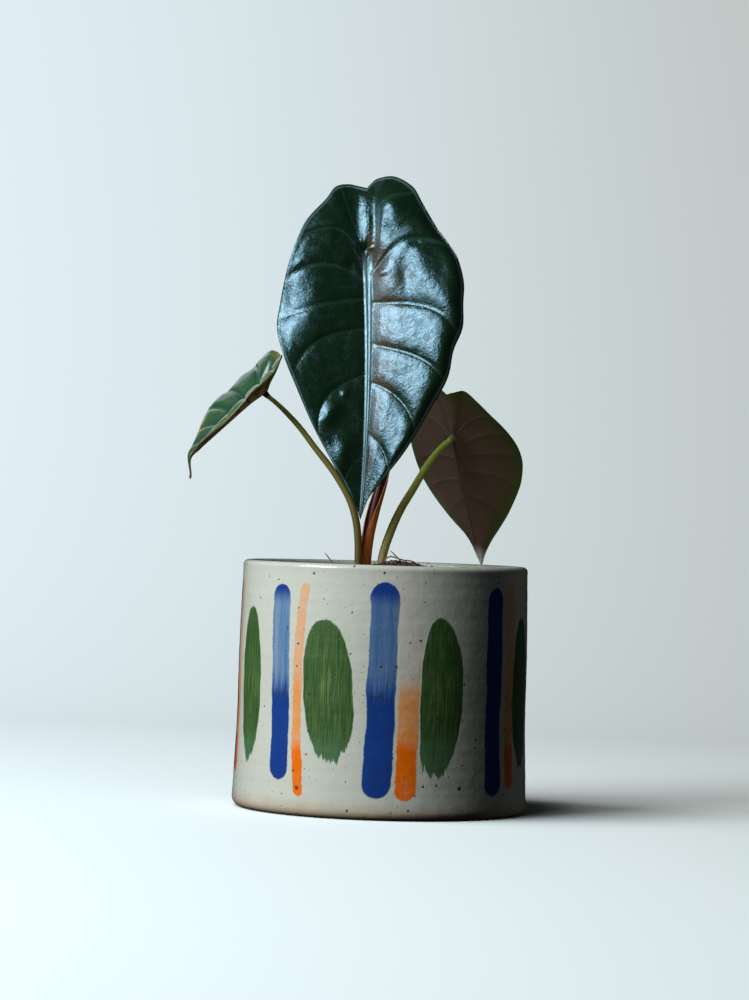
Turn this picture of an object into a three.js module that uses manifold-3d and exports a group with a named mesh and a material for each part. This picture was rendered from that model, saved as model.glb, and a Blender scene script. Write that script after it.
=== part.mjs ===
// Potted alocasia chantrieri: three shield leaves on their stalks, a corm in soil, a thrown pot.
// Millimetres, +Z up. The origin is the centre of the pot's flat foot, and the plant faces -Y.
import * as THREE from 'three';
import { mergeVertices } from 'three/addons/utils/BufferGeometryUtils.js';
import Module from 'manifold-3d';

const wasm = await Module();
wasm.setup();

// Clearance between pieces that touch, and a little more where flat sides face each other
const CLEARANCE = 0.3;
const FLAT_SIDES_MARGIN = 0.1;

// Pot
const POT_HEIGHT = 100;
const POT_BELLY_RADIUS = 60;
const POT_RIM_RADIUS = 58;
const POT_WAIST = 0.6;
const POT_WAIST_HEIGHT = 36;
const FOOT_ROUNDING = 3.6;
const WALL = 5;
const LIP_WALL = 4.2;
const FLOOR = 7;
const INNER_ROUNDING = 8;
const POT_SIDES = 60;

// Soil
const SOIL_AT_WALL = 94;
const SOIL_HEAP = { x: 2, y: 0, rise: 5.6, spread: 17 };
const SOIL_KNOLL = { x: 5, y: -2, rise: 1.9, spread: 6 };
const SOIL_CRUMB = 0.45;
const SOIL_SIDES = 44;

// Corm, and the crown where the stalks stand on it
const CORM_X = -7;
const CORM_Y = 0.7;
const CORM_TOP = 89.5;
const CORM_PROFILE = [[3.2, 52], [6.2, 60], [8.6, 70], [9.3, 79], [8.7, 86], [7.6, 89.5]];
const STALK_FOOT = CORM_TOP + CLEARANCE;

// Blades: thickness, size of the grid's cells, its columns as shares of the way from midrib to
// margin, and how many fields before the tip the midrib's ridge runs out
const BLADE_THICKNESS = 1.1;
const CELL = 5;
const COLUMNS = [0, 0.045, 0.16, 0.34, 0.54, 0.72, 0.88, 1];
const RIDGELESS_TIP = 0.4;

// The pit over the stalk's seat, where the keel under the midrib runs out towards the lobes, and
// how far below the keel the stalk ends, which leaves room for its slanted end
const PIT_WIDTH = 5;
const KEEL_END = 6;
const SEAT_ROOM = 0.9;

// The puffed fields: how flat their crowns are, the share of the rib where they rise, where they
// run out at the margin, and the chord from which they reach their full height
const PUFF_FLATNESS = 2.6;
const PUFF_RISE = 0.14;
const PUFF_FALL = 0.82;
const PUFF_FULL_CHORD = 20;

// Ribs of a half blade from the sinus to the tip. Each is where it leaves the midrib, as a share
// of the way to the tip, where it meets the margin, as a share of the margin from the sinus,
// how far it bows towards the lobes, as a share of its chord, where along it, and how sharply.
const RIBS_EAST = [
  [0, 0, 0, 0.5, 1], [0, 0.135, 0.24, 0.65, 2], [0.07, 0.29, 0.23, 0.52, 1.4],
  [0.167, 0.515, 0.165, 0.6, 1], [0.325, 0.628, 0.12, 0.6, 1], [0.473, 0.765, 0.155, 0.5, 1],
  [0.668, 0.875, 0.13, 0.5, 1], [1, 1, 0.1, 0.5, 1]];
const RIBS_WEST = [
  [0, 0, 0, 0.5, 1], [0, 0.066, -0.02, 0.5, 1], [0, 0.238, 0.27, 0.53, 1.5],
  [0.097, 0.352, 0.21, 0.5, 1], [0.153, 0.455, 0.03, 0.5, 1], [0.269, 0.61, 0.19, 0.55, 1],
  [0.44, 0.775, 0.22, 0.55, 1], [0.756, 0.9, 0.12, 0.5, 1], [1, 1, 0.1, 0.5, 1]];

// Leaves. A blade lies flat in x to the right and y to the lobes, seen on its upper side, with
// the stalk's seat at 0, 0; east and west are its margins from the sinus to the tip.
const LEAVES = {
  front: {
    seat: [-10.6, -14, 222.8], toTip: [0, -0.2079, -0.9781], upper: [0, -0.9781, 0.2079], lean: 0.2079,
    midrib: { offset: -0.7, bow: 1.6, ridge: 0.7, rib: 1.5, halfWidth: 1.9 },
    cup: { east: [0.42, 0.3], west: [0.42, 0.4] }, puff: 1.6, wave: 0.5, pit: 2, arching: 1,
    bend: { lobes: -0.004, tip: -0.0008, hook: 0 },
    ribs: { east: RIBS_EAST, west: RIBS_WEST },
    east: [[-1.7, 30.2], [-0.3, 32], [2.6, 34.5], [9.4, 35.5], [16.9, 31], [21.3, 23.5], [26.8, 14.2],
      [34.6, 3.4], [38.3, -8.2], [38.4, -18], [38.4, -28], [35, -37.5], [32.9, -49], [26.6, -61.6],
      [17.6, -78], [8.8, -90.5], [3, -98.6], [-0.2, -107.8]],
    west: [[-1.7, 30.2], [-5.2, 31], [-9.6, 31.6], [-14.6, 30], [-18.2, 24.6], [-25.9, 14.9],
      [-30.4, 3.5], [-33.2, -7.4], [-35.3, -20], [-36.1, -30], [-33.2, -41], [-27.4, -54.5],
      [-20.3, -70], [-13.2, -82.8], [-6.8, -93.8], [-2.2, -102.4], [-0.2, -107.8]],
  },
  left: {
    seat: [-53.3, 1.5, 169.7], toTip: [-0.7071, 0, -0.7071], upper: [-0.6861, -0.2419, 0.6861], lean: 0,
    midrib: { offset: 0, bow: 0.4, ridge: 0.3, rib: 1, halfWidth: 1.2 },
    cup: { east: [0.36, 0.12], west: [0.36, 0.12] }, puff: 1.1, wave: 0.5, pit: 0.8, arching: 0.6,
    bend: { lobes: 0.017, tip: 0, hook: -6.4 },
    ribs: { east: RIBS_WEST, west: RIBS_EAST },
    east: [[-0.4, 13.2], [1.6, 14.6], [5.6, 15.6], [10.4, 14.2], [14.4, 10.6], [18.4, 5], [20.2, -2],
      [20.6, -9], [20.2, -15], [18.6, -21], [14.8, -27], [10.2, -32.6], [5.2, -37.6], [1.9, -41.6],
      [0.7, -43.8], [0, -46.3]],
    west: [[-0.4, 13.2], [-2.6, 14.8], [-6.4, 15.4], [-10.8, 14], [-14.8, 10.2], [-18.2, 5.6],
      [-19.8, 1], [-21.4, -3.4], [-20.2, -8.4], [-20.8, -15], [-19.6, -20], [-16.4, -23.6],
      [-12.6, -28.4], [-9, -32.8], [-4.8, -37.4], [-2, -41.2], [-0.8, -43.8], [0, -46.3]],
  },
  right: {
    seat: [27.3, 28.5, 153.3], toTip: [0.2452, 0.3253, -0.9137], upper: [0.457, 0.791, 0.407], lean: 0,
    midrib: { offset: 0, bow: 0.5, ridge: 0.3, rib: 1.2, halfWidth: 1.4 },
    cup: { east: [0.42, 0.114], west: [0.42, 0.114] }, puff: 1, wave: 0.6, pit: 0.8, arching: 0.6,
    bend: { lobes: 0, tip: 0, hook: 0 },
    ribs: { east: RIBS_EAST, west: RIBS_WEST },
    east: [[-0.4, 18.7], [2.3, 20.9], [9.3, 21.7], [16.5, 17.7], [22.1, 10.3], [25.5, 1.9], [26.6, -6.2],
      [26.2, -14.5], [24.5, -21.3], [21.3, -26.5], [16.5, -32.9], [11.1, -39.7], [6.7, -44.7],
      [4, -49.5], [2.6, -54.1], [1, -58.7]],
    west: [[-0.4, 18.7], [-3.6, 19.3], [-7.7, 18.5], [-11.9, 12.9], [-15.7, 7.3], [-20.5, 0.5],
      [-23.5, -6.4], [-24.4, -14.7], [-22.8, -22.5], [-20.3, -28.3], [-15, -36.7], [-10.3, -42.5],
      [-5.5, -47.9], [-1.7, -53.3], [1, -58.7]],
  },
};

// Stalks: points of the centre line after its foot, and the radii at the foot and at the blade
const STALKS = {
  front: {
    radii: [1.5, 1.35],
    path: [[-8.6, 2.2, 98], [-7.7, 2.4, 110], [-5.6, 2.8, 122], [-3, 3.6, 134], [-1.3, 5, 150],
      [-1.4, 5.6, 168], [-3.2, 4, 188], [-6.2, -0.6, 205], [-9, -6.4, 216.5]],
  },
  left: {
    radii: [1.55, 0.9],
    path: [[-11.3, -2, 99], [-11.6, -2, 109], [-12.9, -1.7, 117.6], [-15.6, -1.1, 125.6],
      [-21.5, -0.4, 135.3], [-29.8, 0.4, 145.6], [-37.2, 1, 154.7], [-45.3, 1.6, 162.8]],
  },
  right: {
    radii: [1.8, 1.15],
    path: [[-1.9, 2.2, 99], [-0.8, 4.3, 105.4], [1.7, 7.8, 113.3], [5.7, 12.2, 122.5], [11, 16.8, 131.8],
      [16.6, 21.4, 141.6], [21.4, 24.3, 148]],
  },
};
const STALK_SIDES = 10;
const STALK_STEP = 6;

// Cataphyll: the papery sheath rolled round the foot of the front stalk, slit towards the front
// left. The slit is half as wide as these angles at the foot and higher up, and the tip is a strip.
const SHEATH_TOP = 152;
const SHEATH_WALL = 0.65;
const SHEATH_FLARE = 0.5;
const SHEATH_SLIT = { direction: 3.9, low: 0.35, high: 1.5 };
const SHEATH_TIP = 0.12;
const SHEATH_ROWS = 16;
const SHEATH_COLUMNS = 16;

// Coir fibres that stick out of the soil
const FIBRE_RADIUS = 0.35;
const HOLE_DEPTH_MARGIN = 0.6;
const FIBRES = {
  coir_tip: [[7.6, 6, 95.5], [7, 5, 99.5], [5.4, 4, 101.6], [1.6, 2.6, 105.2]],
  coir_arch: [[-0.6, -5, 97.4], [-0.2, -5, 101.6], [1.8, -5, 102.8], [4.2, -4.9, 102.3], [7, -4.5, 101.5],
    [11, -4, 101], [13.4, -3.6, 98.6], [14, -3.4, 95.4]],
  coir_left: [[-20.8, -8, 93], [-21.2, -8, 97], [-22, -8, 99.8], [-24.9, -8, 103.6]],
};

// Colour, roughness and metalness of each finish
const FINISHES = {
  glaze: [0xd8d2c2, 0.35],
  soil: [0x2b1f17, 0.95],
  corm: [0x6b4a2e, 0.8],
  blade: [0x17402a, 0.3],
  youngBlade: [0x3c7a3e, 0.4],
  underside: [0x4a3134, 0.55],
  stalk: [0x6a6a2a, 0.5],
  sheath: [0x8a3b14, 0.5],
  coir: [0x9a7a50, 0.9],
};

const { lerp, smoothstep: smooth } = THREE.MathUtils;
const up = ([x, y, z]) => new THREE.Vector3(x, y, z);

// A named mesh with its own material
function piece(name, geometry, finish) {
  const [color, roughness] = FINISHES[finish];
  const material = new THREE.MeshStandardMaterial({ color, roughness, metalness: 0 });
  const mesh = new THREE.Mesh(geometry, material);
  mesh.name = name;
  return mesh;
}

// Position and index only, with seams merged and empty triangles dropped
function welded(geometry) {
  geometry.deleteAttribute('normal');
  geometry.deleteAttribute('uv');
  const merged = mergeVertices(geometry, 1e-3);
  const index = merged.index.array;
  const kept = [];
  for (let i = 0; i < index.length; i += 3) {
    const [a, b, c] = index.slice(i, i + 3);
    if (a !== b && b !== c && c !== a) kept.push(a, b, c);
  }
  merged.setIndex(kept);
  return merged;
}

function toManifold(geometry) {
  const { index, attributes } = welded(geometry);
  return new wasm.Manifold(new wasm.Mesh({
    numProp: 3,
    vertProperties: new Float32Array(attributes.position.array),
    triVerts: new Uint32Array(index.array),
  }));
}

function fromManifold(solid) {
  const { vertProperties, triVerts } = solid.getMesh();
  const geometry = new THREE.BufferGeometry();
  geometry.setAttribute('position', new THREE.BufferAttribute(vertProperties, 3));
  geometry.setIndex(new THREE.BufferAttribute(triVerts, 1));
  geometry.computeVertexNormals();
  return geometry;
}

// A solid of revolution round Z from a profile of [radius, height] that starts and ends on the axis
function turned(profile, sides) {
  const points = profile.map(([r, z]) => new THREE.Vector2(r, z));
  return new THREE.LatheGeometry(points, sides).rotateX(Math.PI / 2);
}

// Points of an arc of [radius, height] from one angle to another
function arc(r, z, radius, from, to, steps) {
  return Array.from({ length: steps + 1 }, (_, i) => {
    const angle = from + (to - from) * i / steps;
    return [r + radius * Math.cos(angle), z + radius * Math.sin(angle)];
  });
}

// Outer radius of the pot at a height: a slight taper to the rim and a slight waist
function potRadius(z) {
  const taper = (POT_BELLY_RADIUS - POT_RIM_RADIUS) * (z / POT_HEIGHT) ** 1.4;
  const waist = POT_WAIST * Math.exp(-(((z - POT_WAIST_HEIGHT) / 20) ** 2));
  return POT_BELLY_RADIUS - taper - waist;
}

// Inner radius of the pot: the wall thins towards the lip
function potBore(z) {
  return potRadius(z) - lerp(WALL, LIP_WALL, z / POT_HEIGHT);
}

function pot() {
  const lip = LIP_WALL / 2;
  const lipZ = POT_HEIGHT - lip;
  const lipR = potRadius(lipZ) - lip;
  const footR = potRadius(FOOT_ROUNDING) - FOOT_ROUNDING;
  const boreR = potBore(FLOOR + INNER_ROUNDING) - INNER_ROUNDING;
  const outside = [14, 25, 36, 48, 60, 72, 84, 92].map((z) => [potRadius(z), z]);
  const inside = [90, 70, 45, 25].map((z) => [potBore(z), z]);
  return turned([
    [0, 0],
    ...arc(footR, FOOT_ROUNDING, FOOT_ROUNDING, -Math.PI / 2, 0, 4),
    ...outside,
    ...arc(lipR, lipZ, lip, 0, Math.PI, 6),
    ...inside,
    ...arc(boreR, FLOOR + INNER_ROUNDING, INNER_ROUNDING, 0, -Math.PI / 2, 4),
    [0, FLOOR],
  ], POT_SIDES);
}

function hill({ x, y, rise, spread }, px, py) {
  return rise * Math.exp(-((px - x) ** 2 + (py - y) ** 2) / (2 * spread * spread));
}

// Height of the soil's surface: heaped round the crown, with crumbs
function soilTop(x, y) {
  const crumbs = Math.sin(x * 0.9 + 1.3 * Math.sin(y * 0.7)) * Math.sin(y * 1.1 + 0.8 * Math.sin(x * 0.6));
  return SOIL_AT_WALL + hill(SOIL_HEAP, x, y) + hill(SOIL_KNOLL, x, y) + SOIL_CRUMB * crumbs;
}

function soil(cutters) {
  const bottom = FLOOR + CLEARANCE;
  const bore = (z) => potBore(z) - CLEARANCE / Math.cos(Math.PI / POT_SIDES) - FLAT_SIDES_MARGIN;
  const corner = INNER_ROUNDING;
  const rings = [52, 46, 39, 32, 26, 20, 15, 10, 5];
  const body = turned([
    [0, bottom],
    ...arc(bore(bottom + corner) - corner, bottom + corner, corner, -Math.PI / 2, 0, 3),
    ...[45, 75, SOIL_AT_WALL].map((z) => [bore(z), z]),
    ...rings.map((r) => [r, POT_HEIGHT]),
    [0, POT_HEIGHT],
  ], SOIL_SIDES);
  const place = body.attributes.position;
  for (let i = 0; i < place.count; i += 1) {
    if (place.getZ(i) === POT_HEIGHT) place.setZ(i, soilTop(place.getX(i), place.getY(i)));
  }
  return fromManifold(cutters.reduce((rest, cutter) => rest.subtract(toManifold(cutter)), toManifold(body)));
}

// The corm, grown by a margin for the hole that it lies in
function corm(margin = 0) {
  const profile = CORM_PROFILE.map(([r, z]) => [r + margin, z]);
  const first = profile[0];
  const last = profile[profile.length - 1];
  first[1] -= margin;
  last[1] += margin;
  return turned([[0, first[1]], ...profile, [0, last[1]]], 20).translate(CORM_X, CORM_Y, 0);
}

// A closed round rod along a curve, with its radius as a function of the share of its length
function rod(curve, radiusAt, sides, steps) {
  const { normals, binormals } = curve.computeFrenetFrames(steps, false);
  const position = [];
  const index = [];
  for (let i = 0; i <= steps; i += 1) {
    const centre = curve.getPointAt(i / steps);
    const radius = radiusAt(i / steps);
    for (let j = 0; j < sides; j += 1) {
      const angle = 2 * Math.PI * j / sides;
      const across = normals[i].clone().multiplyScalar(radius * Math.cos(angle));
      const along = binormals[i].clone().multiplyScalar(radius * Math.sin(angle));
      position.push(...centre.clone().add(across).add(along).toArray());
    }
  }
  const at = (i, j) => i * sides + (j % sides);
  for (let i = 0; i < steps; i += 1) {
    for (let j = 0; j < sides; j += 1) {
      index.push(at(i, j), at(i, j + 1), at(i + 1, j + 1), at(i, j), at(i + 1, j + 1), at(i + 1, j));
    }
  }
  for (let j = 1; j < sides - 1; j += 1) {
    index.push(at(0, 0), at(0, j + 1), at(0, j), at(steps, 0), at(steps, j), at(steps, j + 1));
  }
  const geometry = new THREE.BufferGeometry();
  geometry.setAttribute('position', new THREE.Float32BufferAttribute(position, 3));
  geometry.setIndex(index);
  return geometry;
}

// The triangles of a sheet between two grids of points, upper and lower, each a list of rows.
// Both faces are split alike. Walls join them along the named edges of the grid, and a sheet
// with all four walls is closed.
function sheet(upper, lower, walls = ['first', 'last', 'start', 'end']) {
  const rows = upper.length;
  const columns = upper[0].length;
  const corners = [];
  const quad = (a, b, c, d) => corners.push(a, c, b, a, d, c);
  for (let i = 0; i < rows - 1; i += 1) {
    for (let j = 0; j < columns - 1; j += 1) {
      const [above, below] = [upper, lower].map((face) => (
        [face[i][j], face[i][j + 1], face[i + 1][j + 1], face[i + 1][j]]));
      quad(...above);
      corners.push(below[0], below[1], below[2], below[0], below[2], below[3]);
    }
  }
  const wall = ([i, j], [k, l]) => quad(upper[i][j], upper[k][l], lower[k][l], lower[i][j]);
  for (let j = 0; j < columns - 1; j += 1) {
    if (walls.includes('first')) wall([0, j + 1], [0, j]);
    if (walls.includes('last')) wall([rows - 1, j], [rows - 1, j + 1]);
  }
  for (let i = 0; i < rows - 1; i += 1) {
    if (walls.includes('start')) wall([i, 0], [i + 1, 0]);
    if (walls.includes('end')) wall([i + 1, columns - 1], [i, columns - 1]);
  }
  return corners;
}

function meshOf(corners) {
  const geometry = new THREE.BufferGeometry();
  geometry.setAttribute('position', new THREE.Float32BufferAttribute(corners.flatMap((p) => p.toArray()), 3));
  return welded(geometry);
}

// A point of the midrib, at a share of the way from the seat to the tip
function midribPoint(leaf, share) {
  const [tipX, tipY] = leaf.east[leaf.east.length - 1];
  const { offset, bow } = leaf.midrib;
  return new THREE.Vector2(lerp(offset, tipX, share) + bow * Math.sin(Math.PI * share), tipY * share);
}

// A point of one rib, at a share a of its chord from the midrib to the margin
function ribPoint(leaf, margin, side, rib, a) {
  const [start, share, bow, peak, sharpness] = leaf.ribs[side][rib];
  const from = midribPoint(leaf, start);
  const chord = margin.getPointAt(share).sub(from);
  const turn = side === 'east' ? 1 : -1;
  const u = a ** (Math.log(0.5) / Math.log(peak));
  const arch = turn * leaf.arching * bow * (4 * u * (1 - u)) ** sharpness;
  return from.add(new THREE.Vector2(chord.x * a - chord.y * arch, chord.y * a + chord.x * arch));
}

// A point of the flat blade between two ribs, drawn on to the midrib and to the margin.
// k counts ribs from the sinus, and its whole part is the rib above the point.
function flatPoint(leaf, margin, side, k, a) {
  const ribs = leaf.ribs[side];
  const above = Math.min(Math.floor(k), ribs.length - 2);
  const f = k - above;
  const ends = [ribs[above], ribs[above + 1]];
  const [start, share] = [0, 1].map((column) => lerp(ends[0][column], ends[1][column], f));
  const blend = (at) => at(0).lerp(at(1), f);
  const point = blend((i) => ribPoint(leaf, margin, side, above + i, a));
  const inner = midribPoint(leaf, start).sub(blend((i) => midribPoint(leaf, ends[i][0])));
  const outer = margin.getPointAt(share).sub(blend((i) => margin.getPointAt(ends[i][1])));
  return { point: point.addScaledVector(inner, 1 - a).addScaledVector(outer, a), start, share };
}

// A point of a half blade, lifted off the flat blade: the halves rise from the midrib and fall
// back to the margin, each field between two ribs is puffed up, the margin waves, the midrib
// stands up as a ridge, and the seat of the stalk is a pit.
function bladePoint(leaf, margin, side, k, a) {
  const { point: { x, y }, start, share } = flatPoint(leaf, margin, side, k, a);
  const tipY = leaf.east[leaf.east.length - 1][1];
  const { midrib, bend } = leaf;
  const { x: dx, y: dy } = margin.getPointAt(share).sub(midribPoint(leaf, start));
  const turn = side === 'east' ? 1 : -1;
  const [rise, fall] = leaf.cup[side];
  const cup = Math.abs(dx) * Math.min(k, 1) * (rise * a - fall * a ** 3);
  const field = k < 1 ? (1 + k) / 2 : k % 1;
  const crown = 1 - Math.abs(2 * field - 1) ** PUFF_FLATNESS;
  const size = Math.min(1, Math.hypot(dx, dy) / PUFF_FULL_CHORD);
  const runOut = smooth(a, 0, PUFF_RISE) * (1 - 0.8 * smooth(a, PUFF_FALL, 1));
  const puff = leaf.puff * size * crown * runOut;
  const wave = leaf.wave * size * Math.sin(2.1 * k + turn) * a ** 5 * Math.min(k, 1);
  const ridge = midrib.ridge * (1 - smooth(a, 0, COLUMNS[1])) * (y < 0 ? 1 - start ** 2 : 0);
  const pit = leaf.pit * Math.exp(-(x * x + y * y) / PIT_WIDTH ** 2);
  const along = y > 0 ? bend.lobes * y * y : bend.tip * y * y;
  const hook = bend.hook * smooth(y / tipY, 0.8, 1) ** 2;
  return { x, y, lift: cup + puff + wave + ridge - pit + along + hook };
}

// A leaf's blade: two half sheets that share the points of the midrib and the sinus
function blade(leaf) {
  const tipY = leaf.east[leaf.east.length - 1][1];
  const ribStarts = [...leaf.ribs.east, ...leaf.ribs.west].map((rib) => rib[0]);
  const starts = [...new Set(ribStarts)].sort((p, q) => p - q);
  const stations = starts.slice(1).flatMap((to, i) => {
    const from = starts[i];
    const cells = Math.max(1, Math.round((to - from) * -tipY / CELL));
    return Array.from({ length: cells }, (_, j) => from + (to - from) * (j + 1) / cells);
  });
  const place = new THREE.Matrix4();
  const toLobes = up(leaf.toTip).negate();
  const upper = up(leaf.upper);
  place.makeBasis(new THREE.Vector3().crossVectors(toLobes, upper), toLobes, upper);
  place.setPosition(...leaf.seat);
  const halves = ['east', 'west'].map((side) => {
    const margin = new THREE.SplineCurve(leaf[side].map(([x, y]) => new THREE.Vector2(x, y)));
    const ribs = leaf.ribs[side];
    const last = ribs.findIndex((rib) => rib[0] > 0) - 1;
    const fan = Array.from({ length: last * 4 + 1 }, (_, i) => i / 4);
    const down = stations.map((start) => {
      const i = Math.max(last, ribs.findIndex((rib) => rib[0] >= start - 1e-9) - 1);
      return i + (start - ribs[i][0]) / (ribs[i + 1][0] - ribs[i][0]);
    });
    const ridged = (k) => k > last && k < ribs.length - 1 - RIDGELESS_TIP;
    const grid = (under) => [...fan, ...down].map((k) => COLUMNS.map((column, j) => {
      const a = j === 1 && !ridged(k) ? 0 : column;
      const { x, y, lift } = bladePoint(leaf, margin, side, k, a);
      const rib = leaf.midrib.rib * Math.exp(-((x / leaf.midrib.halfWidth) ** 2)) * smooth(y, tipY, KEEL_END);
      const height = lift - under * (BLADE_THICKNESS + (y < KEEL_END ? rib : 0));
      const local = new THREE.Vector3(x, y - leaf.lean * height, Math.sqrt(1 - leaf.lean ** 2) * height);
      return local.applyMatrix4(place);
    }));
    if (side === 'east') return sheet(grid(0), grid(1), ['end']);
    const mirrored = (rows) => rows.map((row) => [...row].reverse());
    return sheet(mirrored(grid(0)), mirrored(grid(1)), ['start']);
  });
  return meshOf(halves.flat());
}

function seatPoint(leaf) {
  const depth = BLADE_THICKNESS + leaf.midrib.rib + leaf.pit + SEAT_ROOM;
  return up(leaf.seat).addScaledVector(up(leaf.upper), -depth);
}

// A stalk's centre line, from its foot on the corm to its seat under the blade
function stalkLine(name) {
  const points = STALKS[name].path.map(up);
  const foot = points[0].clone().setZ(STALK_FOOT);
  return new THREE.CatmullRomCurve3([foot, ...points, seatPoint(LEAVES[name])], false, 'centripetal');
}

function stalk(name, margin = 0) {
  const line = stalkLine(name);
  const [atFoot, atBlade] = STALKS[name].radii;
  const steps = Math.round(line.getLength() / STALK_STEP);
  return rod(line, (t) => lerp(atFoot, atBlade, t * t) + margin, STALK_SIDES, steps);
}

// The sheath round the front stalk: a rolled sheet whose slit opens upwards, drawn out to a point
function cataphyll() {
  const line = stalkLine('front');
  const length = line.getLength();
  const end = (SHEATH_TOP - STALK_FOOT) / length;
  const grid = (radiusAt) => Array.from({ length: SHEATH_ROWS + 1 }, (_, i) => {
    const share = i / SHEATH_ROWS;
    const t = share * end;
    const centre = line.getPointAt(t);
    const tangent = line.getTangentAt(t);
    const side = new THREE.Vector3(0, 1, 0).cross(tangent).normalize();
    const back = new THREE.Vector3().crossVectors(tangent, side);
    const open = lerp(SHEATH_SLIT.low, SHEATH_SLIT.high, smooth(share, 0.3, 0.65));
    const half = lerp(Math.PI - open, SHEATH_TIP, smooth(share, 0.6, 1));
    return Array.from({ length: SHEATH_COLUMNS + 1 }, (__, j) => {
      const angle = SHEATH_SLIT.direction + Math.PI + half * (1 - 2 * j / SHEATH_COLUMNS);
      const across = side.clone().multiplyScalar(Math.cos(angle)).addScaledVector(back, Math.sin(angle));
      return centre.clone().addScaledVector(across, radiusAt(share));
    });
  });
  const bore = STALKS.front.radii[0] + CLEARANCE + FLAT_SIDES_MARGIN;
  const inner = (share) => bore + SHEATH_FLARE * smooth(share, 0.2, 0.9);
  const outer = (share) => inner(share) + SHEATH_WALL;
  return { body: meshOf(sheet(grid(outer), grid(inner))), outer };
}

const fibreLines = Object.entries(FIBRES).map(([name, points]) => (
  [name, new THREE.CatmullRomCurve3(points.map(up), false, 'centripetal')]));
const fibre = (line, margin = 0) => rod(line, () => FIBRE_RADIUS + margin, 6, 10);
const hole = (solid) => solid.translate(0, 0, -HOLE_DEPTH_MARGIN);

const sheath = cataphyll();
const sheathHoleRadius = sheath.outer(0) + CLEARANCE + FLAT_SIDES_MARGIN;
const cutters = [
  corm(CLEARANCE),
  hole(stalk('left', CLEARANCE)),
  hole(stalk('right', CLEARANCE)),
  hole(rod(stalkLine('front'), () => sheathHoleRadius, 16, 30)),
  ...fibreLines.map(([, line]) => hole(fibre(line, 2 * CLEARANCE))),
];

const plant = new THREE.Group();
plant.add(piece('pot', pot(), 'glaze'));
plant.add(piece('soil', soil(cutters), 'soil'));
plant.add(piece('corm', corm(), 'corm'));
plant.add(piece('leaf_front_blade', blade(LEAVES.front), 'blade'));
plant.add(piece('leaf_left_blade', blade(LEAVES.left), 'youngBlade'));
plant.add(piece('leaf_right_blade', blade(LEAVES.right), 'underside'));
for (const name of Object.keys(STALKS)) {
  plant.add(piece(`leaf_${name}_petiole`, stalk(name), 'stalk'));
}
plant.add(piece('cataphyll', sheath.body, 'sheath'));
for (const [name, line] of fibreLines) {
  plant.add(piece(name, fibre(line), 'coir'));
}

export default plant;
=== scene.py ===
"""Looks of a potted alocasia chantrieri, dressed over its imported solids.

Shapes are worked out in millimetres, in the frame of the solids: +Z up, the plant faces -Y, and
the origin is the centre of the pot's foot. They become metres when they are made into meshes.
"""

import math

import bpy
import numpy as np
from mathutils import Matrix, Vector


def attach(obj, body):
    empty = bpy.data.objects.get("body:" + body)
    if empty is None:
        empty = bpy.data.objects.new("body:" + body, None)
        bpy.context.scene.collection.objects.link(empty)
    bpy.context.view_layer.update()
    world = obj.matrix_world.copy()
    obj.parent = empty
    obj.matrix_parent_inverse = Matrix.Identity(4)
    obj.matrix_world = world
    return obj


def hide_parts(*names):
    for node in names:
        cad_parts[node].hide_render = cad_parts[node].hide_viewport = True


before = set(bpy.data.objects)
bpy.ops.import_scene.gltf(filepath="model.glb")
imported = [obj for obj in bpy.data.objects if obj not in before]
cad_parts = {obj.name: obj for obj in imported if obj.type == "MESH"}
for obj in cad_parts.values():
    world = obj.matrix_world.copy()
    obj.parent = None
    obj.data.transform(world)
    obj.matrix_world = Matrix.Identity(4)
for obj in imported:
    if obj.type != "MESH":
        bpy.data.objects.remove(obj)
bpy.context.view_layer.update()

MM = 0.001

# Camera: its place, tilt and roll, and the focal length in pixels of the 1000 pixel high image
CAMERA_PLACE = (-5.4, -1400, 122)
CAMERA_TILT = 0.147
CAMERA_ROLL = 1.75
FOCAL_PIXELS = 3430
IMAGE_HEIGHT = 1000
SENSOR = 36

# Pot
POT_HEIGHT = 100
POT_BELLY_RADIUS = 60
POT_RIM_RADIUS = 58
POT_WAIST = 0.6
POT_WAIST_HEIGHT = 36
FOOT_ROUNDING = 3.6
WALL = 5
LIP_WALL = 4.2
FLOOR = 7
INNER_ROUNDING = 8
CLEARANCE = 0.3

# Brush strokes round the pot: angles from the front, positive to the right, in degrees, then the
# lean to the right at the top and the bow to the right in millimetres, the width, and the heights
# of the two ends
BLUE_BARS = [(-86, 0, 0, 10, 14, 92), (-43.6, -2.4, 0, 9.8, 14, 91.2), (-0.7, 1.7, 0.3, 11.4, 8.8, 93.4),
             (49, 0.6, 0, 9.6, 9.5, 92)]
ORANGE_STRIPES = [(-79, 1, 0, 5, 14, 92), (-32.6, -0.3, -2.4, 4.4, 8, 92), (10.5, 2, 0, 8.6, 8, 96),
                  (60, 1, 0, 6.6, 12, 94)]
GREEN_OVALS = [(-64, -0.7, 0, 16.5, 21, 81.6), (-21.7, -4.4, 0, 21.8, 22, 78.2), (21.4, 1.5, 2.4, 18.6, 17, 80),
               (71, 0, 0, 17, 20, 80)]
FAINT_STRIPE = 2
FULL_BAR = 2
DARK_BAR = 3
REPEAT_ANGLE = 45
REPEATS = 8

# Soil
SOIL_AT_WALL = 94
SOIL_HEAP = (2, 0, 5.6, 17)
SOIL_KNOLL = (5, -2, 1.9, 6)
SOIL_BANK = (21, -3, 1.9, 6)
CORM_TOP = 89.5

# Blades: thickness at the midrib and at the margin
BLADE_THICKNESS = 1.1
MARGIN_THICKNESS = 0.6

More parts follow.
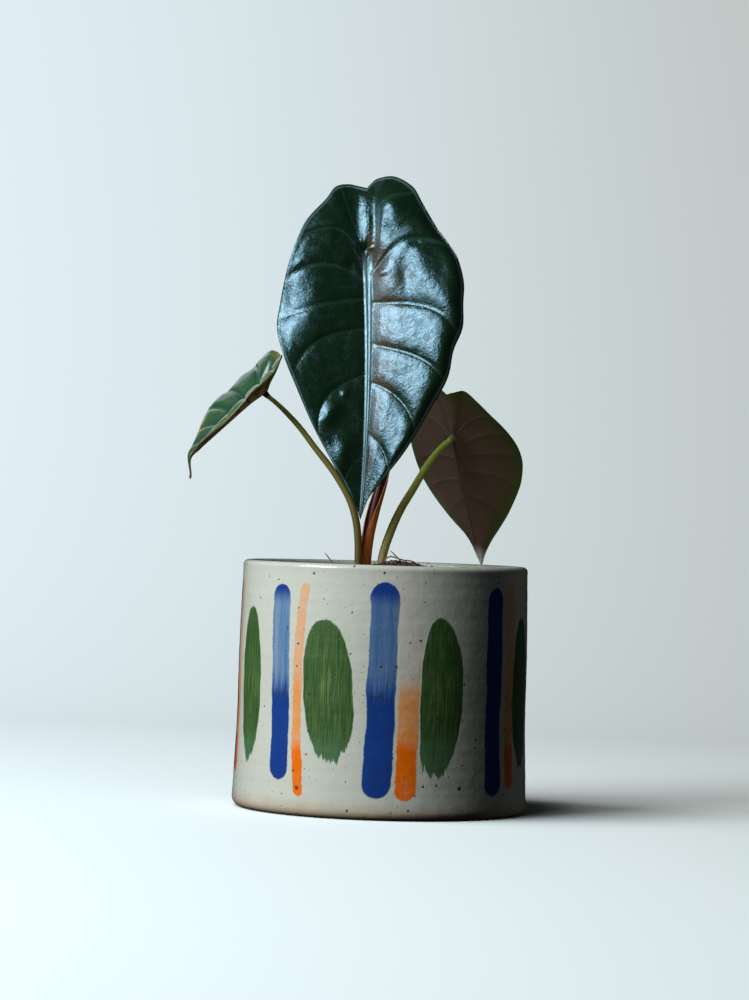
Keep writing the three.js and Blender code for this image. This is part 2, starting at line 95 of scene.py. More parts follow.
# Ribs of a half blade from the sinus to the tip. Each is where it leaves the midrib, as a share
# of the way to the tip, where it meets the margin, as a share of the margin from the sinus,
# how far it bows towards the lobes, as a share of its chord, where along it, and how sharply.
RIBS_EAST = np.array([
    [0, 0, 0, 0.5, 1], [0, 0.135, 0.24, 0.65, 2], [0.07, 0.29, 0.23, 0.52, 1.4],
    [0.167, 0.515, 0.165, 0.6, 1], [0.325, 0.628, 0.12, 0.6, 1], [0.473, 0.765, 0.155, 0.5, 1],
    [0.668, 0.875, 0.13, 0.5, 1], [1, 1, 0.1, 0.5, 1]])
RIBS_WEST = np.array([
    [0, 0, 0, 0.5, 1], [0, 0.066, -0.02, 0.5, 1], [0, 0.238, 0.27, 0.53, 1.5],
    [0.097, 0.352, 0.21, 0.5, 1], [0.153, 0.455, 0.03, 0.5, 1], [0.269, 0.61, 0.19, 0.55, 1],
    [0.44, 0.775, 0.22, 0.55, 1], [0.756, 0.9, 0.12, 0.5, 1], [1, 1, 0.1, 0.5, 1]])

# Folds and dents of the front blade: place of the middle, direction of the length in degrees,
# half the length, half the width and the height
FRONT_FOLDS = [
    (-2.2, 4, 20, 2.6, 1.7, -1.5), (1, 4.6, 20, 1.4, 0.7, 0.6), (5.4, -5.8, 20, 2.6, 1, 0.9),
    (-7.6, -3.6, 80, 2.6, 2.2, -0.9), (-1, 17, 92, 12, 3, 2.4), (4.6, 15, 86, 12, 1, 0.6), (13, 6, 55, 6, 3, 0.7),
    (19, 6.6, 10, 2.6, 1.5, -0.9), (6.5, -9, 90, 8, 4, 0.8), (15, -8, 93, 9, 3.6, -1.2), (35, 0, 70, 5, 2.4, 0.5),
    (-16.1, 10.9, 80, 2.2, 2, 0.35), (-27, -2, 28, 5.5, 1.6, 0.3), (-29.5, -22, 85, 15, 4, 0.5),
    (-13.4, -64, 66, 6, 3.6, 2.1), (-8, -56, 70, 2.2, 1.6, 1), (-7.6, -80, 80, 8, 4.4, 2.6),
    (28, 2, 112, 13, 5.5, -3), (8.5, 22, 95, 9, 5, 2.8)]

# Leaves, as in the solids. A blade lies flat in x to the right and y to the lobes, seen on its
# upper side, with the stalk's seat at 0, 0; east and west are its margins from sinus to tip.
LEAVES = {
    "front": dict(
        seat=(-10.6, -14, 222.8), to_tip=(0, -0.2079, -0.9781), upper=(0, -0.9781, 0.2079), lean=0.2079,
        midrib=dict(offset=-0.7, bow=1.6, ridge=0.7, rib=1.5, half_width=1.9, band=(2.1, 0.55)),
        cup=dict(east=(0.43, 0.27, 11), west=(0.32, 0.84, 0)), puff=dict(east=1.4, west=0.8), wave=0.5,
        shoulder=dict(east=2.4, west=0), relief=0.72,
        pit=2, arching=1, folds=FRONT_FOLDS,
        bend=dict(lobes=-0.004, tip=-0.0008, hook=0), ribs=dict(east=RIBS_EAST, west=RIBS_WEST),
        east=[(-1.7, 30.2), (-0.3, 32), (2.6, 34.5), (9.4, 35.5), (16.9, 31), (21.3, 23.5), (26.8, 14.2),
              (34.6, 3.4), (38.3, -8.2), (38.4, -18), (38.4, -28), (35, -37.5), (32.9, -49),
              (26.6, -61.6), (17.6, -78), (8.8, -90.5), (3, -98.6), (-0.2, -107.8)],
        west=[(-1.7, 30.2), (-5.2, 31), (-9.6, 31.6), (-14.6, 30), (-18.2, 24.6), (-25.9, 14.9),
              (-30.4, 3.5), (-33.2, -7.4), (-35.3, -20), (-36.1, -30), (-33.2, -41), (-27.4, -54.5),
              (-20.3, -70), (-13.2, -82.8), (-6.8, -93.8), (-2.2, -102.4), (-0.2, -107.8)]),
    "left": dict(
        seat=(-53.3, 1.5, 169.7), to_tip=(-0.7071, 0, -0.7071), upper=(-0.6861, -0.2419, 0.6861), lean=0,
        midrib=dict(offset=0, bow=0.4, ridge=0.3, rib=1, half_width=1.2, band=(0.7, 0.3)),
        cup=dict(east=(0.36, 0.12, 3), west=(0.36, 0.12, 3)), puff=dict(east=1.1, west=1.2), wave=0.7,
        pit=0.8, arching=0.6, shoulder=dict(east=0, west=0), relief=0, folds=[],
        bend=dict(lobes=0.017, tip=0, hook=-6.4), ribs=dict(east=RIBS_WEST, west=RIBS_EAST),
        east=[(-0.4, 13.2), (1.6, 14.6), (5.6, 15.6), (10.4, 14.2), (14.4, 10.6), (18.4, 5), (20.2, -2),
              (20.6, -9), (20.2, -15), (18.6, -21), (14.8, -27), (10.2, -32.6), (5.2, -37.6),
              (1.9, -41.6), (0.7, -43.8), (0, -46.3)],
        west=[(-0.4, 13.2), (-2.6, 14.8), (-6.4, 15.4), (-10.8, 14), (-14.8, 10.2), (-18.2, 5.6),
              (-19.8, 1), (-21.4, -3.4), (-20.2, -8.4), (-20.8, -15), (-19.6, -20), (-16.4, -23.6),
              (-12.6, -28.4), (-9, -32.8), (-4.8, -37.4), (-2, -41.2), (-0.8, -43.8), (0, -46.3)]),
    "right": dict(
        seat=(27.3, 28.5, 153.3), to_tip=(0.2452, 0.3253, -0.9137), upper=(0.457, 0.791, 0.407), lean=0,
        midrib=dict(offset=0, bow=0.5, ridge=0.3, rib=1.2, half_width=1.4, band=(0.8, 0.3)),
        cup=dict(east=(0.42, 0.114, 3), west=(0.42, 0.114, 3)), puff=dict(east=0.3, west=0.3), wave=0.6,
        pit=0.4, arching=0.6, shoulder=dict(east=0, west=0), relief=0, folds=[],
        bend=dict(lobes=0, tip=0, hook=0), ribs=dict(east=RIBS_EAST, west=RIBS_WEST),
        east=[(-0.4, 18.7), (2.3, 20.9), (9.3, 21.7), (16.5, 17.7), (22.1, 10.3), (25.5, 1.9), (26.6, -6.2),
              (26.2, -14.5), (24.5, -21.3), (21.3, -26.5), (16.5, -32.9), (11.1, -39.7), (6.7, -44.7),
              (4, -49.5), (2.6, -54.1), (1, -58.7)],
        west=[(-0.4, 18.7), (-3.6, 19.3), (-7.7, 18.5), (-11.9, 12.9), (-15.7, 7.3), (-20.5, 0.5),
              (-23.5, -6.4), (-24.4, -14.7), (-22.8, -22.5), (-20.3, -28.3), (-15, -36.7),
              (-10.3, -42.5), (-5.5, -47.9), (-1.7, -53.3), (1, -58.7)]),
}

# Stalks: the points of the centre line after its foot, and the radii at the foot and at the blade
STALKS = {
    "front": dict(radii=(1.5, 1.35), path=[
        (-8.6, 2.2, 98), (-7.7, 2.4, 110), (-5.6, 2.8, 122), (-3, 3.6, 134), (-1.3, 5, 150),
        (-1.4, 5.6, 168), (-3.2, 4, 188), (-6.2, -0.6, 205), (-9, -6.4, 216.5)]),
    "left": dict(radii=(1.55, 0.9), path=[
        (-11.3, -2, 99), (-11.6, -2, 109), (-12.9, -1.7, 117.6), (-15.6, -1.1, 125.6),
        (-21.5, -0.4, 135.3), (-29.8, 0.4, 145.6), (-37.2, 1, 154.7), (-45.3, 1.6, 162.8)]),
    "right": dict(radii=(1.8, 1.15), path=[
        (-1.9, 2.2, 99), (-0.8, 4.3, 105.4), (1.7, 7.8, 113.3), (5.7, 12.2, 122.5), (11, 16.8, 131.8),
        (16.6, 21.4, 141.6), (21.4, 24.3, 148)]),
}

# Cataphyll
SHEATH_TOP = 152
SHEATH_WALL = 0.65
SHEATH_FLARE = 0.5
SHEATH_SLIT = dict(direction=3.9, low=0.35, high=1.5)
SHEATH_TIP = 0.12

# Coir fibres
FIBRE_RADIUS = 0.3
FIBRES = {
    "coir_tip": [(7.6, 6, 95.5), (7, 5, 99.5), (5.4, 4, 101.6), (1.6, 2.6, 105.2)],
    "coir_arch": [(-0.6, -5, 97.4), (-0.2, -5, 101.6), (1.8, -5, 102.8), (4.2, -4.9, 102.3),
                  (7, -4.5, 101.5), (11, -4, 101), (13.4, -3.6, 98.6), (14, -3.4, 95.4)],
    "coir_left": [(-20.8, -8, 93), (-21.2, -8, 97), (-22, -8, 99.8), (-24.9, -8, 103.6)],
}


# Shader maths

class Value:
    """A socket of a material that can stand in a Python sum: each operator adds its Math node."""

    def __init__(self, shade, socket):
        self.shade = shade
        self.socket = socket

    def _math(self, operation, *values):
        inputs = dict(enumerate(values))
        return self.shade.node("ShaderNodeMath", dict(operation=operation), inputs)

    def __add__(self, other):
        return self._math("ADD", self, other)

    def __sub__(self, other):
        return self._math("SUBTRACT", self, other)

    def __rsub__(self, other):
        return self._math("SUBTRACT", other, self)

    def __mul__(self, other):
        return self._math("MULTIPLY", self, other)

    def __truediv__(self, other):
        return self._math("DIVIDE", self, other)

    def __pow__(self, other):
        return self._math("POWER", self, other)

    __radd__ = __add__
    __rmul__ = __mul__

    def absolute(self):
        return self._math("ABSOLUTE", self)

    def smaller(self, other):
        return self._math("MINIMUM", self, other)

    def larger(self, other):
        return self._math("MAXIMUM", self, other)


class Shade:
    """A material whose nodes are written as Python expressions."""

    def __init__(self, name):
        self.material = bpy.data.materials.new(name)
        self.material.use_nodes = True
        self.tree = self.material.node_tree
        self.surface = self.tree.nodes["Principled BSDF"]

    def node(self, kind, settings=None, inputs=None, output=0):
        """One node: its settings are set first, then the values or links of its sockets."""
        node = self.tree.nodes.new(kind)
        for key, value in (settings or {}).items():
            setattr(node, key, value)
        for key, value in (inputs or {}).items():
            self.feed(node.inputs[key], value)
        return Value(self, node.outputs[output])

    def feed(self, socket, value):
        if isinstance(value, Value):
            self.tree.links.new(value.socket, socket)
        else:
            socket.default_value = value

    def place(self):
        """Object coordinates in millimetres."""
        metres = self.node("ShaderNodeTexCoord", output="Object")
        return self.node("ShaderNodeVectorMath", dict(operation="SCALE"), {0: metres, "Scale": 1 / MM})

    def split(self, vector):
        node = self.tree.nodes.new("ShaderNodeSeparateXYZ")
        self.feed(node.inputs[0], vector)
        return [Value(self, socket) for socket in node.outputs]

    def vector(self, x, y, z):
        return self.node("ShaderNodeCombineXYZ", inputs={0: x, 1: y, 2: z})

    def attribute(self, name):
        return self.node("ShaderNodeAttribute", dict(attribute_name=name), output="Fac")

    def ramp(self, value, low, high, to_low=0.0, to_high=1.0):
        """A smooth step of a value from low to high."""
        inputs = {"Value": value, "From Min": low, "From Max": high, "To Min": to_low, "To Max": to_high}
        return self.node("ShaderNodeMapRange", dict(interpolation_type="SMOOTHSTEP"), inputs)

    def noise(self, vector, size, detail=2.0, roughness=0.5):
        inputs = {"Vector": vector, "Scale": 1 / size, "Detail": detail, "Roughness": roughness}
        return self.node("ShaderNodeTexNoise", {}, inputs)

    def cells(self, vector, size, feature="F1", dimensions="3D"):
        """Distance to the nearest random point, in cells, and that cell's random colour."""
        node = self.tree.nodes.new("ShaderNodeTexVoronoi")
        node.voronoi_dimensions = dimensions
        node.feature = feature
        self.feed(node.inputs["Vector"], vector)
        self.feed(node.inputs["Scale"], 1 / size)
        if feature == "DISTANCE_TO_EDGE":
            return Value(self, node.outputs["Distance"])
        return Value(self, node.outputs["Distance"]), Value(self, node.outputs["Color"])

    def mix(self, factor, first, second):
        """A colour between two colours."""
        colours = [c if isinstance(c, Value) else (*c, 1.0) for c in (first, second)]
        settings = dict(data_type="RGBA", clamp_factor=True)
        return self.node("ShaderNodeMix", settings, {0: factor, 6: colours[0], 7: colours[1]}, 2)

    def bump(self, height, depth, normal=None):
        """A height in millimetres as a normal."""
        inputs = {"Height": height, "Distance": depth * MM, "Strength": 1.0}
        if normal is not None:
            inputs["Normal"] = normal
        return self.node("ShaderNodeBump", {}, inputs)

    def finish(self, **sockets):
        for name, value in sockets.items():
            if isinstance(value, tuple):
                value = (*value, 1.0)
            self.feed(self.surface.inputs[name.replace("_", " ")], value)
        return self.material


# Meshes

def grid_faces(rows, columns, closed=False, turned=False):
    """Triangles of a grid of points, row by row, whose columns may close on themselves."""
    across = columns if closed else columns - 1
    i, j = np.meshgrid(np.arange(rows - 1), np.arange(across), indexing="ij")
    here = i * columns + j
    right = i * columns + (j + 1) % columns
    up, up_right = here + columns, right + columns
    quads = np.stack([here, right, up_right, up], axis=-1).reshape(-1, 4)
    if turned:
        quads = quads[:, ::-1]
    return np.concatenate([quads[:, [0, 1, 2]], quads[:, [0, 2, 3]]])


class Shell:
    """Points and triangles of one piece, with the values that its material reads at each point."""

    def __init__(self):
        self.points, self.faces, self.values, self.count = [], [], {}, 0

    def add(self, points, faces, **values):
        self.points.append(np.reshape(points, (-1, 3)))
        self.faces.append(faces + self.count)
        count = len(self.points[-1])
        for name, value in values.items():
            self.values.setdefault(name, []).append(np.broadcast_to(value, np.shape(points)[:-1]).ravel())
        self.count += count

    def made(self, name, material, slot, *nodes):
        """The welded mesh, riding on the part in place of its CAD nodes."""
        points = np.concatenate(self.points)
        faces = np.concatenate(self.faces)
        keys = np.round(points * 1e4).astype(np.int64)
        _, first, merged = np.unique(keys, axis=0, return_index=True, return_inverse=True)
        faces = merged.ravel()[faces]
        whole = (faces[:, 0] != faces[:, 1]) & (faces[:, 1] != faces[:, 2]) & (faces[:, 2] != faces[:, 0])
        mesh = bpy.data.meshes.new(name)
        mesh.from_pydata((points[first] * MM).tolist(), [], faces[whole].tolist())
        mesh.shade_smooth()
        for key, parts in self.values.items():
            data = mesh.attributes.new(key, "FLOAT", "POINT").data
            data.foreach_set("value", np.concatenate(parts)[first].astype(np.float32))
        mesh.materials.append(material)
        piece = bpy.data.objects.new(name, mesh)
        bpy.context.scene.collection.objects.link(piece)
        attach(piece, "root")
        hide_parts(*nodes)
        return piece


def smooth(value, low, high):
    """The smooth step of an array from low to high."""
    share = np.clip((value - low) / (high - low), 0, 1)
    return share * share * (3 - 2 * share)


def waves(*phases):
    """A quiet unevenness from -1 to 1: the mean of sines of sums of the given arrays."""
    total = sum(np.sin(phase + 1.7 * i) for i, phase in enumerate(phases))
    return total / len(phases)


def spline(points, steps, power=0.5):
    """A Catmull-Rom curve through the points, whose knots are apart by the chord to a power.

    Returns a function that gives points at shares of its length. Power 0 is the uniform curve.
    """
    points = np.asarray(points, float)
    ends = np.concatenate([[2 * points[0] - points[1]], points, [2 * points[-1] - points[-2]]])
    chords = np.maximum(np.linalg.norm(np.diff(ends, axis=0), axis=1), 1e-6) ** power
    t = np.linspace(0, 1, steps, endpoint=False)[:, None]
    run = []
    for i in range(len(points) - 1):
        a, b, c, d = ends[i:i + 4]
        before, here, after = chords[i:i + 3]
        start = (b - a) / before - (c - a) / (before + here) + (c - b) / here
        stop = (c - b) / here - (d - b) / (here + after) + (d - c) / after
        start, stop = start * here, stop * here
        run.append(b + start * t + (-3 * b + 3 * c - 2 * start - stop) * t ** 2
                   + (2 * b - 2 * c + start + stop) * t ** 3)
    run = np.concatenate([*run, points[-1:]])
    length = np.concatenate([[0], np.cumsum(np.linalg.norm(np.diff(run, axis=0), axis=1))])

    def at(share):
        where = np.asarray(share) * length[-1]
        return np.stack([np.interp(where, length, run[:, axis]) for axis in range(run.shape[1])], axis=-1)

    at.length = length[-1]
    return at


def frames_along(curve, shares):
    """Centres, and two unit vectors across the curve, one of them level with X as far as it can be."""
    centre = curve(shares)
    ahead = curve(np.minimum(shares + 1e-3, 1)) - curve(np.maximum(shares - 1e-3, 0))
    ahead /= np.linalg.norm(ahead, axis=1, keepdims=True)
    side = np.cross([0, 1, 0], ahead)
    side /= np.linalg.norm(side, axis=1, keepdims=True)
    return centre, side, np.cross(ahead, side)


def rod(shell, curve, radius, shares, sides):
    """A round rod: centre + radius * (cos, sin) across the curve, with its ends drawn to points.

    radius is an array of one value for each share, or a grid of shares and sides.
    """
    centre, side, back = frames_along(curve, shares)
    angle = np.linspace(0, 2 * np.pi, sides, endpoint=False)
    ring = (side[:, None] * np.cos(angle)[:, None] + back[:, None] * np.sin(angle)[:, None])
    wide = np.broadcast_to(np.reshape(radius, (len(shares), -1)), (len(shares), sides))
    points = centre[:, None] + ring * wide[..., None]
    caps = np.broadcast_to(centre[[0, -1], None], (2, sides, 3))
    points = np.concatenate([caps[:1], points, caps[1:]])
    run = np.concatenate([shares[:1], shares, shares[-1:]])
    shell.add(points, grid_faces(len(points), sides, closed=True), along=run[:, None])


# Pot

def pot_radius(z):
    """The belly's radius, less a taper to the rim and a slight waist."""
    taper = (POT_BELLY_RADIUS - POT_RIM_RADIUS) * (np.maximum(z, 0) / POT_HEIGHT) ** 1.4
    waist = POT_WAIST * np.exp(-((z - POT_WAIST_HEIGHT) / 20) ** 2)
    return POT_BELLY_RADIUS - taper - waist


def pot_bore(z):
    return pot_radius(z) - (WALL + (LIP_WALL - WALL) * z / POT_HEIGHT)


def arc(r, z, radius, start, stop, steps):
    """Points of an arc round (r, z), from one angle to another."""
    angle = np.linspace(start, stop, steps)
    return np.stack([r + radius * np.cos(angle), z + radius * np.sin(angle)], axis=-1)


def wall(radius_at, low, high, steps):
    z = np.linspace(low, high, steps)
    return np.stack([radius_at(z), z], axis=-1)


def pot():
    """The pot's profile turned round Z, with faint throwing rings that climb as a spiral."""
    lip = LIP_WALL / 2
    lip_z = POT_HEIGHT - lip
    foot = pot_radius(FOOT_ROUNDING) - FOOT_ROUNDING
    corner = pot_bore(FLOOR + INNER_ROUNDING) - INNER_ROUNDING
    profile = np.concatenate([
        [[0, 0], [foot - 1.2, 0]],
        arc(foot, FOOT_ROUNDING, FOOT_ROUNDING, -np.pi / 2, 0, 10),
        wall(pot_radius, FOOT_ROUNDING + 1, lip_z - 0.5, 84),
        arc(pot_radius(lip_z) - lip, lip_z, lip, 0, np.pi, 16),
        wall(pot_bore, lip_z - 2, FLOOR + INNER_ROUNDING, 30),
        arc(corner, FLOOR + INNER_ROUNDING, INNER_ROUNDING, 0, -np.pi / 2, 8),
        [[0, FLOOR]],
    ])
    angle = np.linspace(0, 2 * np.pi, 480, endpoint=False)
    r, z = profile[:, :1], profile[:, 1:]
    outside = smooth(r, 40, 56) * smooth(z, 3, 12) * (1 - smooth(z, 96, 99.5))
    climb = z + angle / np.pi
    rings = waves(climb * 1.05, climb * 1.9 + 0.6 * np.sin(angle), climb * 0.52)
    low_rings = np.exp(-((z - 12) / 7) ** 2) * waves(climb * 2.6, climb * 2.6)
    radius = r - outside * (0.13 + 0.055 * rings + 0.07 * low_rings + 0.12 * np.cos(angle + 0.6) ** 2)
    shell = Shell()
    points = np.stack([radius * np.sin(angle), -radius * np.cos(angle), z + 0 * angle], axis=-1)
    shell.add(points, grid_faces(len(profile), len(angle), closed=True))
    return shell.made("glazed_pot", glaze(), "pot_glaze", "pot")


def all_round(strokes, seed):
    """The strokes in sight, and the hidden ones at the same spacing with a painter's unevenness."""
    luck = np.random.default_rng(seed)
    hidden = []
    for i in range(len(strokes), REPEATS):
        _, lean, bow, width, low, high = strokes[i % len(strokes)]
        shift = luck.uniform(-1, 1, 6)
        hidden.append((strokes[0][0] + REPEAT_ANGLE * i + 3 * shift[0], lean + 1.5 * shift[1], bow + shift[2],
                       width + shift[3], low + 1.5 * shift[4], high + shift[5]))
    return strokes + hidden


def glaze():
    """Cream speckled glaze with brushed blue bars, thin orange stripes and streaky green ovals."""
    shade = Shade("speckled_glaze")
    place = shade.place()
    x, y, z = shade.split(place)
    angle = shade.node("ShaderNodeMath", dict(operation="ARCTAN2"), {0: x, 1: y * -1}) * math.degrees(1)
    arc_mm = math.radians(1) * POT_BELLY_RADIUS
    outside = shade.ramp(x * x + y * y, 55.2 ** 2, 55.8 ** 2)
    grain = shade.noise(place, 1.6, 3.0, 0.6)
    sway = shade.noise(place, 14, 2.0)
    around = shade.vector(angle * arc_mm, z * 0.05, 0.0)
    hairs = shade.noise(around, 0.75, 3.0, 0.65)
    broad_hairs = shade.noise(around, 2.6, 2.0)
    patches = shade.noise(place, 6, 3.0, 0.6)

    def across_and_up(stroke):
        """Millimetres to the right of a stroke's swaying middle line, and the way up, from -1 to 1."""
        at, lean, bow, _, low, high = stroke
        turn = shade.node("ShaderNodeMath", dict(operation="WRAP"), {0: angle - at, 1: 180.0, 2: -180.0})
        up = (z - (low + high) / 2) / ((high - low) / 2)
        line = up * (lean / 2) + (1 - up * up) * bow
        return turn * arc_mm - line + (sway - 0.5) * 2.2, up

    def bar(stroke, edge):
        """1 inside a bar with round ends, with a hairy edge."""
        half, low, high = stroke[3] / 2, stroke[4], stroke[5]
        beyond = (z - (high - half)).larger((low + half) - z).larger(0.0)
        side, _ = across_and_up(stroke)
        reach = (side * side + beyond * beyond) ** 0.5 + (grain - 0.5) * edge
        return shade.ramp(reach, half + 0.3, half - 0.3)

    def oval(stroke):
        """1 inside an oval whose foot is broken up by the bristles, and 1 in its thin middle."""
        side, up = across_and_up(stroke)
        side = side / (stroke[3] / 2)
        frayed = ((hairs - 0.5) * 0.22 + (broad_hairs - 0.5) * 0.3) * shade.ramp(up, -0.5, -0.95)
        reach = ((side.absolute() ** 2.2 + up.absolute() ** 2.2) ** 0.4545) + (grain - 0.5) * 0.05 + frayed
        return shade.ramp(reach, 1.02, 0.975), shade.ramp(reach + (broad_hairs - 0.5) * 0.9, 0.75, 0.2)

    def union(masks):
        total = masks[0]
        for mask in masks[1:]:
            total = total.larger(mask)
        return total * outside

    bars = [bar(stroke, 0.7) for stroke in all_round(BLUE_BARS, 3)]
    blue = union(bars)
    stripes = [bar(stroke, 1.6) for stroke in all_round(ORANGE_STRIPES, 4)]
    stripes[FAINT_STRIPE] = stripes[FAINT_STRIPE] * shade.ramp(z + (patches - 0.5) * 24, 60, 46, 0.12, 1.0)
    orange = union(stripes)
    ovals = [oval(stroke) for stroke in all_round(GREEN_OVALS, 5)]
    green, green_core = union([mask for mask, _ in ovals]), union([core for _, core in ovals])

    cream = shade.mix(shade.noise(place, 22, 3.0), (0.59, 0.6, 0.5), (0.66, 0.66, 0.56))
    cream = shade.mix(shade.ramp(z + (patches - 0.5) * 5, 9, 1) * 0.6, cream, (0.5, 0.32, 0.17))
    wash = shade.ramp(z + (hairs - 0.5) * 16, 46, 58) * shade.ramp(z + (hairs - 0.5) * 5, 90, 83)
    blue_paint = shade.mix(shade.noise(place, 7), (0.0, 0.03, 0.22), (0.0, 0.05, 0.27))
    wash = wash * (1 - bars[FULL_BAR] * 0.4 - bars[DARK_BAR])
    blue_paint = shade.mix(wash, blue_paint, (0.015, 0.15, 0.36))
    overlap = shade.ramp((z - 48 + (sway - 0.5) * 4).absolute(), 1.6, 0.4) * 0.5
    blue_paint = shade.mix(overlap, blue_paint, (0.002, 0.03, 0.13))
    blue_load = 0.98 - wash * (0.2 + (hairs - 0.5) * 0.45 + (broad_hairs - 0.5) * 0.5)
    low_orange = shade.ramp(z + (sway - 0.5) * 8, 34, 26)
    middle_orange = shade.ramp((z - 42).absolute(), 20, 6)
    orange_load = 0.68 + low_orange * 0.4 + middle_orange * 0.3 + (patches - 0.5) * 0.7
    orange_load = orange_load * (0.92 + (hairs - 0.5) * 0.5)
    orange_paint = shade.mix(low_orange, (0.88, 0.33, 0.075), (0.92, 0.17, 0.002))
    green_load = 0.97 - shade.ramp(hairs, 0.66, 0.85) * 0.25
    green_paint = shade.mix(shade.ramp(hairs, 0.35, 0.72), (0.016, 0.075, 0.01), (0.075, 0.15, 0.03))
    green_paint = shade.mix(shade.ramp(z + (broad_hairs - 0.5) * 20, 36, 24) * 0.6, green_paint, (0.075, 0.19, 0.08))

    green_paint = shade.mix(green_core * shade.ramp(hairs, 0.45, 0.7) * 0.6, green_paint, (0.17, 0.26, 0.06))

    colour = shade.mix(orange * orange_load, cream, orange_paint)
    colour = shade.mix(blue * blue_load, colour, blue_paint)
    colour = shade.mix(green * green_load, colour, green_paint)

    def specks(size, rarity, small, large, vector):
        """Dark dots of random size in some of the cells."""
        distance, colour_of_cell = shade.cells(vector, size, dimensions="2D")
        luck = shade.split(colour_of_cell)
        radius = shade.ramp(luck[0], rarity, 1.0, small / size, large / size)
        there = shade.ramp(luck[0], rarity - 0.001, rarity + 0.001)
        return shade.ramp(distance, radius + 0.12 / size, radius - 0.06 / size) * there

    unrolled = shade.vector(angle * arc_mm, z, 0.0)
    wobbled = shade.node("ShaderNodeVectorMath", dict(operation="ADD"), {0: unrolled, 1: shade.node(
        "ShaderNodeTexNoise", {}, {"Vector": place, "Scale": 1.4}, "Color")})
    dots = specks(6, 0.72, 0.14, 0.5, wobbled)
    dots = dots.larger(specks(2.6, 0.9, 0.07, 0.22, wobbled))
    dots = dots.larger(specks(17, 0.84, 0.35, 0.8, wobbled))
    colour = shade.mix(dots * 0.88, colour, (0.05, 0.035, 0.016))

    bare = shade.ramp(z + (grain - 0.5) * 0.8, 1.5, 0.7)
    colour = shade.mix(bare, colour, (0.36, 0.22, 0.12))
    height = shade.noise(place, 5, 2.0) * 0.5 + grain * 0.08 + green * 0.25 + blue * 0.1 - dots * 0.12
    return shade.finish(
        Base_Color=colour, Roughness=0.17 + bare * 0.6 + green * 0.08 + (grain - 0.5) * 0.06,
        Specular_IOR_Level=0.35, Coat_Weight=0.25 - bare * 0.25, Coat_Roughness=0.07,
        Normal=shade.bump(height, 0.35))


# Soil

def lumps(x, y, size, seed):
    """Random crumbs: the highest half ball over each point, one in every square of a grid.

    height = sqrt(r² - distance²), with the ball's centre and radius drawn from its square's number.
    """
    column, row = np.floor(x / size), np.floor(y / size)
    height = np.zeros_like(x)
    for i in (-1, 0, 1):
        for j in (-1, 0, 1):
            number = (column + i) * 127.1 + (row + j) * 311.7 + seed
            luck = [np.modf(np.abs(np.sin(number * k)) * 43758.5)[0] for k in (1.0, 1.3, 1.7)]
            dx = x - (column + i + luck[0]) * size
            dy = y - (row + j + luck[1]) * size
            radius = size * (0.25 + 0.4 * luck[2])
            height = np.maximum(height, np.sqrt(np.maximum(radius ** 2 - dx ** 2 - dy ** 2, 0)))
    return height


def soil_height(x, y):
    """A heap round the crown and a knoll on it, covered in three sizes of crumbs."""
    def hill(px, py, rise, spread):
        return rise * np.exp(-((x - px) ** 2 + (y - py) ** 2) / (2 * spread ** 2))
    crumbs = 0.32 * lumps(x, y, 5.2, 3) + 0.55 * lumps(x, y, 2.3, 5) + 0.7 * lumps(x, y, 1.1, 9)
    return SOIL_AT_WALL + hill(*SOIL_HEAP) + hill(*SOIL_KNOLL) + hill(*SOIL_BANK) + crumbs - 1.2


def stalk_feet():
    """Centres and radii of the holes that the stalks and the sheath stand in."""
    for name, stalk in STALKS.items():
        sheath = CLEARANCE + 0.1 + SHEATH_WALL if name == "front" else 0
        yield stalk["path"][0][:2], stalk["radii"][0] + sheath + CLEARANCE


def soil():
    """A disc of rings and spokes, closer near the crown, lifted by soil_height, over a plain bed."""
    bore = pot_bore(SOIL_AT_WALL) - CLEARANCE - 0.2
    share = np.linspace(0, 1, 190)
    rings = bore * (0.35 * share + 0.65 * share ** 1.5)
    angle = np.linspace(0, 2 * np.pi, 420, endpoint=False)
    x, y = rings[:, None] * np.sin(angle), -rings[:, None] * np.cos(angle)
    z = soil_height(x, y)
    for (px, py), radius in stalk_feet():
        edge = smooth(np.hypot(x - px, y - py), radius, radius + 0.5)
        z = CORM_TOP + 1 + (z - CORM_TOP - 1) * edge
    bed = [(pot_bore(z_wall) - CLEARANCE - 0.2, z_wall) for z_wall in (88, 60, 30, FLOOR + INNER_ROUNDING)]
    bed += [(bed[-1][0] - INNER_ROUNDING, FLOOR + CLEARANCE), (0, FLOOR + CLEARANCE)]
    ring = np.stack([np.sin(angle), -np.cos(angle)], axis=-1)
    below = [np.concatenate([ring * r, np.full((len(angle), 1), height)], axis=1) for r, height in bed]
    points = np.concatenate([np.stack([x, y, z], axis=-1), below])
    shell = Shell()
    shell.add(points, grid_faces(len(points), len(angle), closed=True, turned=True))
    return shell.made("potting_mix", earth(), "potting_soil", "soil")


def earth():
    shade = Shade("potting_mix")
    place = shade.place()
    _, tint = shade.cells(place, 1.5)
    luck = shade.split(tint)
    colour = shade.mix(shade.noise(place, 3, 4.0), (0.012, 0.008, 0.006), (0.05, 0.028, 0.016))
    colour = shade.mix(shade.ramp(luck[0], 0.8, 0.9) * 0.7, colour, (0.13, 0.06, 0.025))
    colour = shade.mix(shade.ramp(luck[1], 0.95, 0.97), colour, (0.3, 0.24, 0.17))
    height = shade.noise(place, 0.7, 4.0, 0.7)
    return shade.finish(Base_Color=colour, Roughness=0.75 + luck[2] * 0.2, Normal=shade.bump(height, 0.6))


# Coir and corm

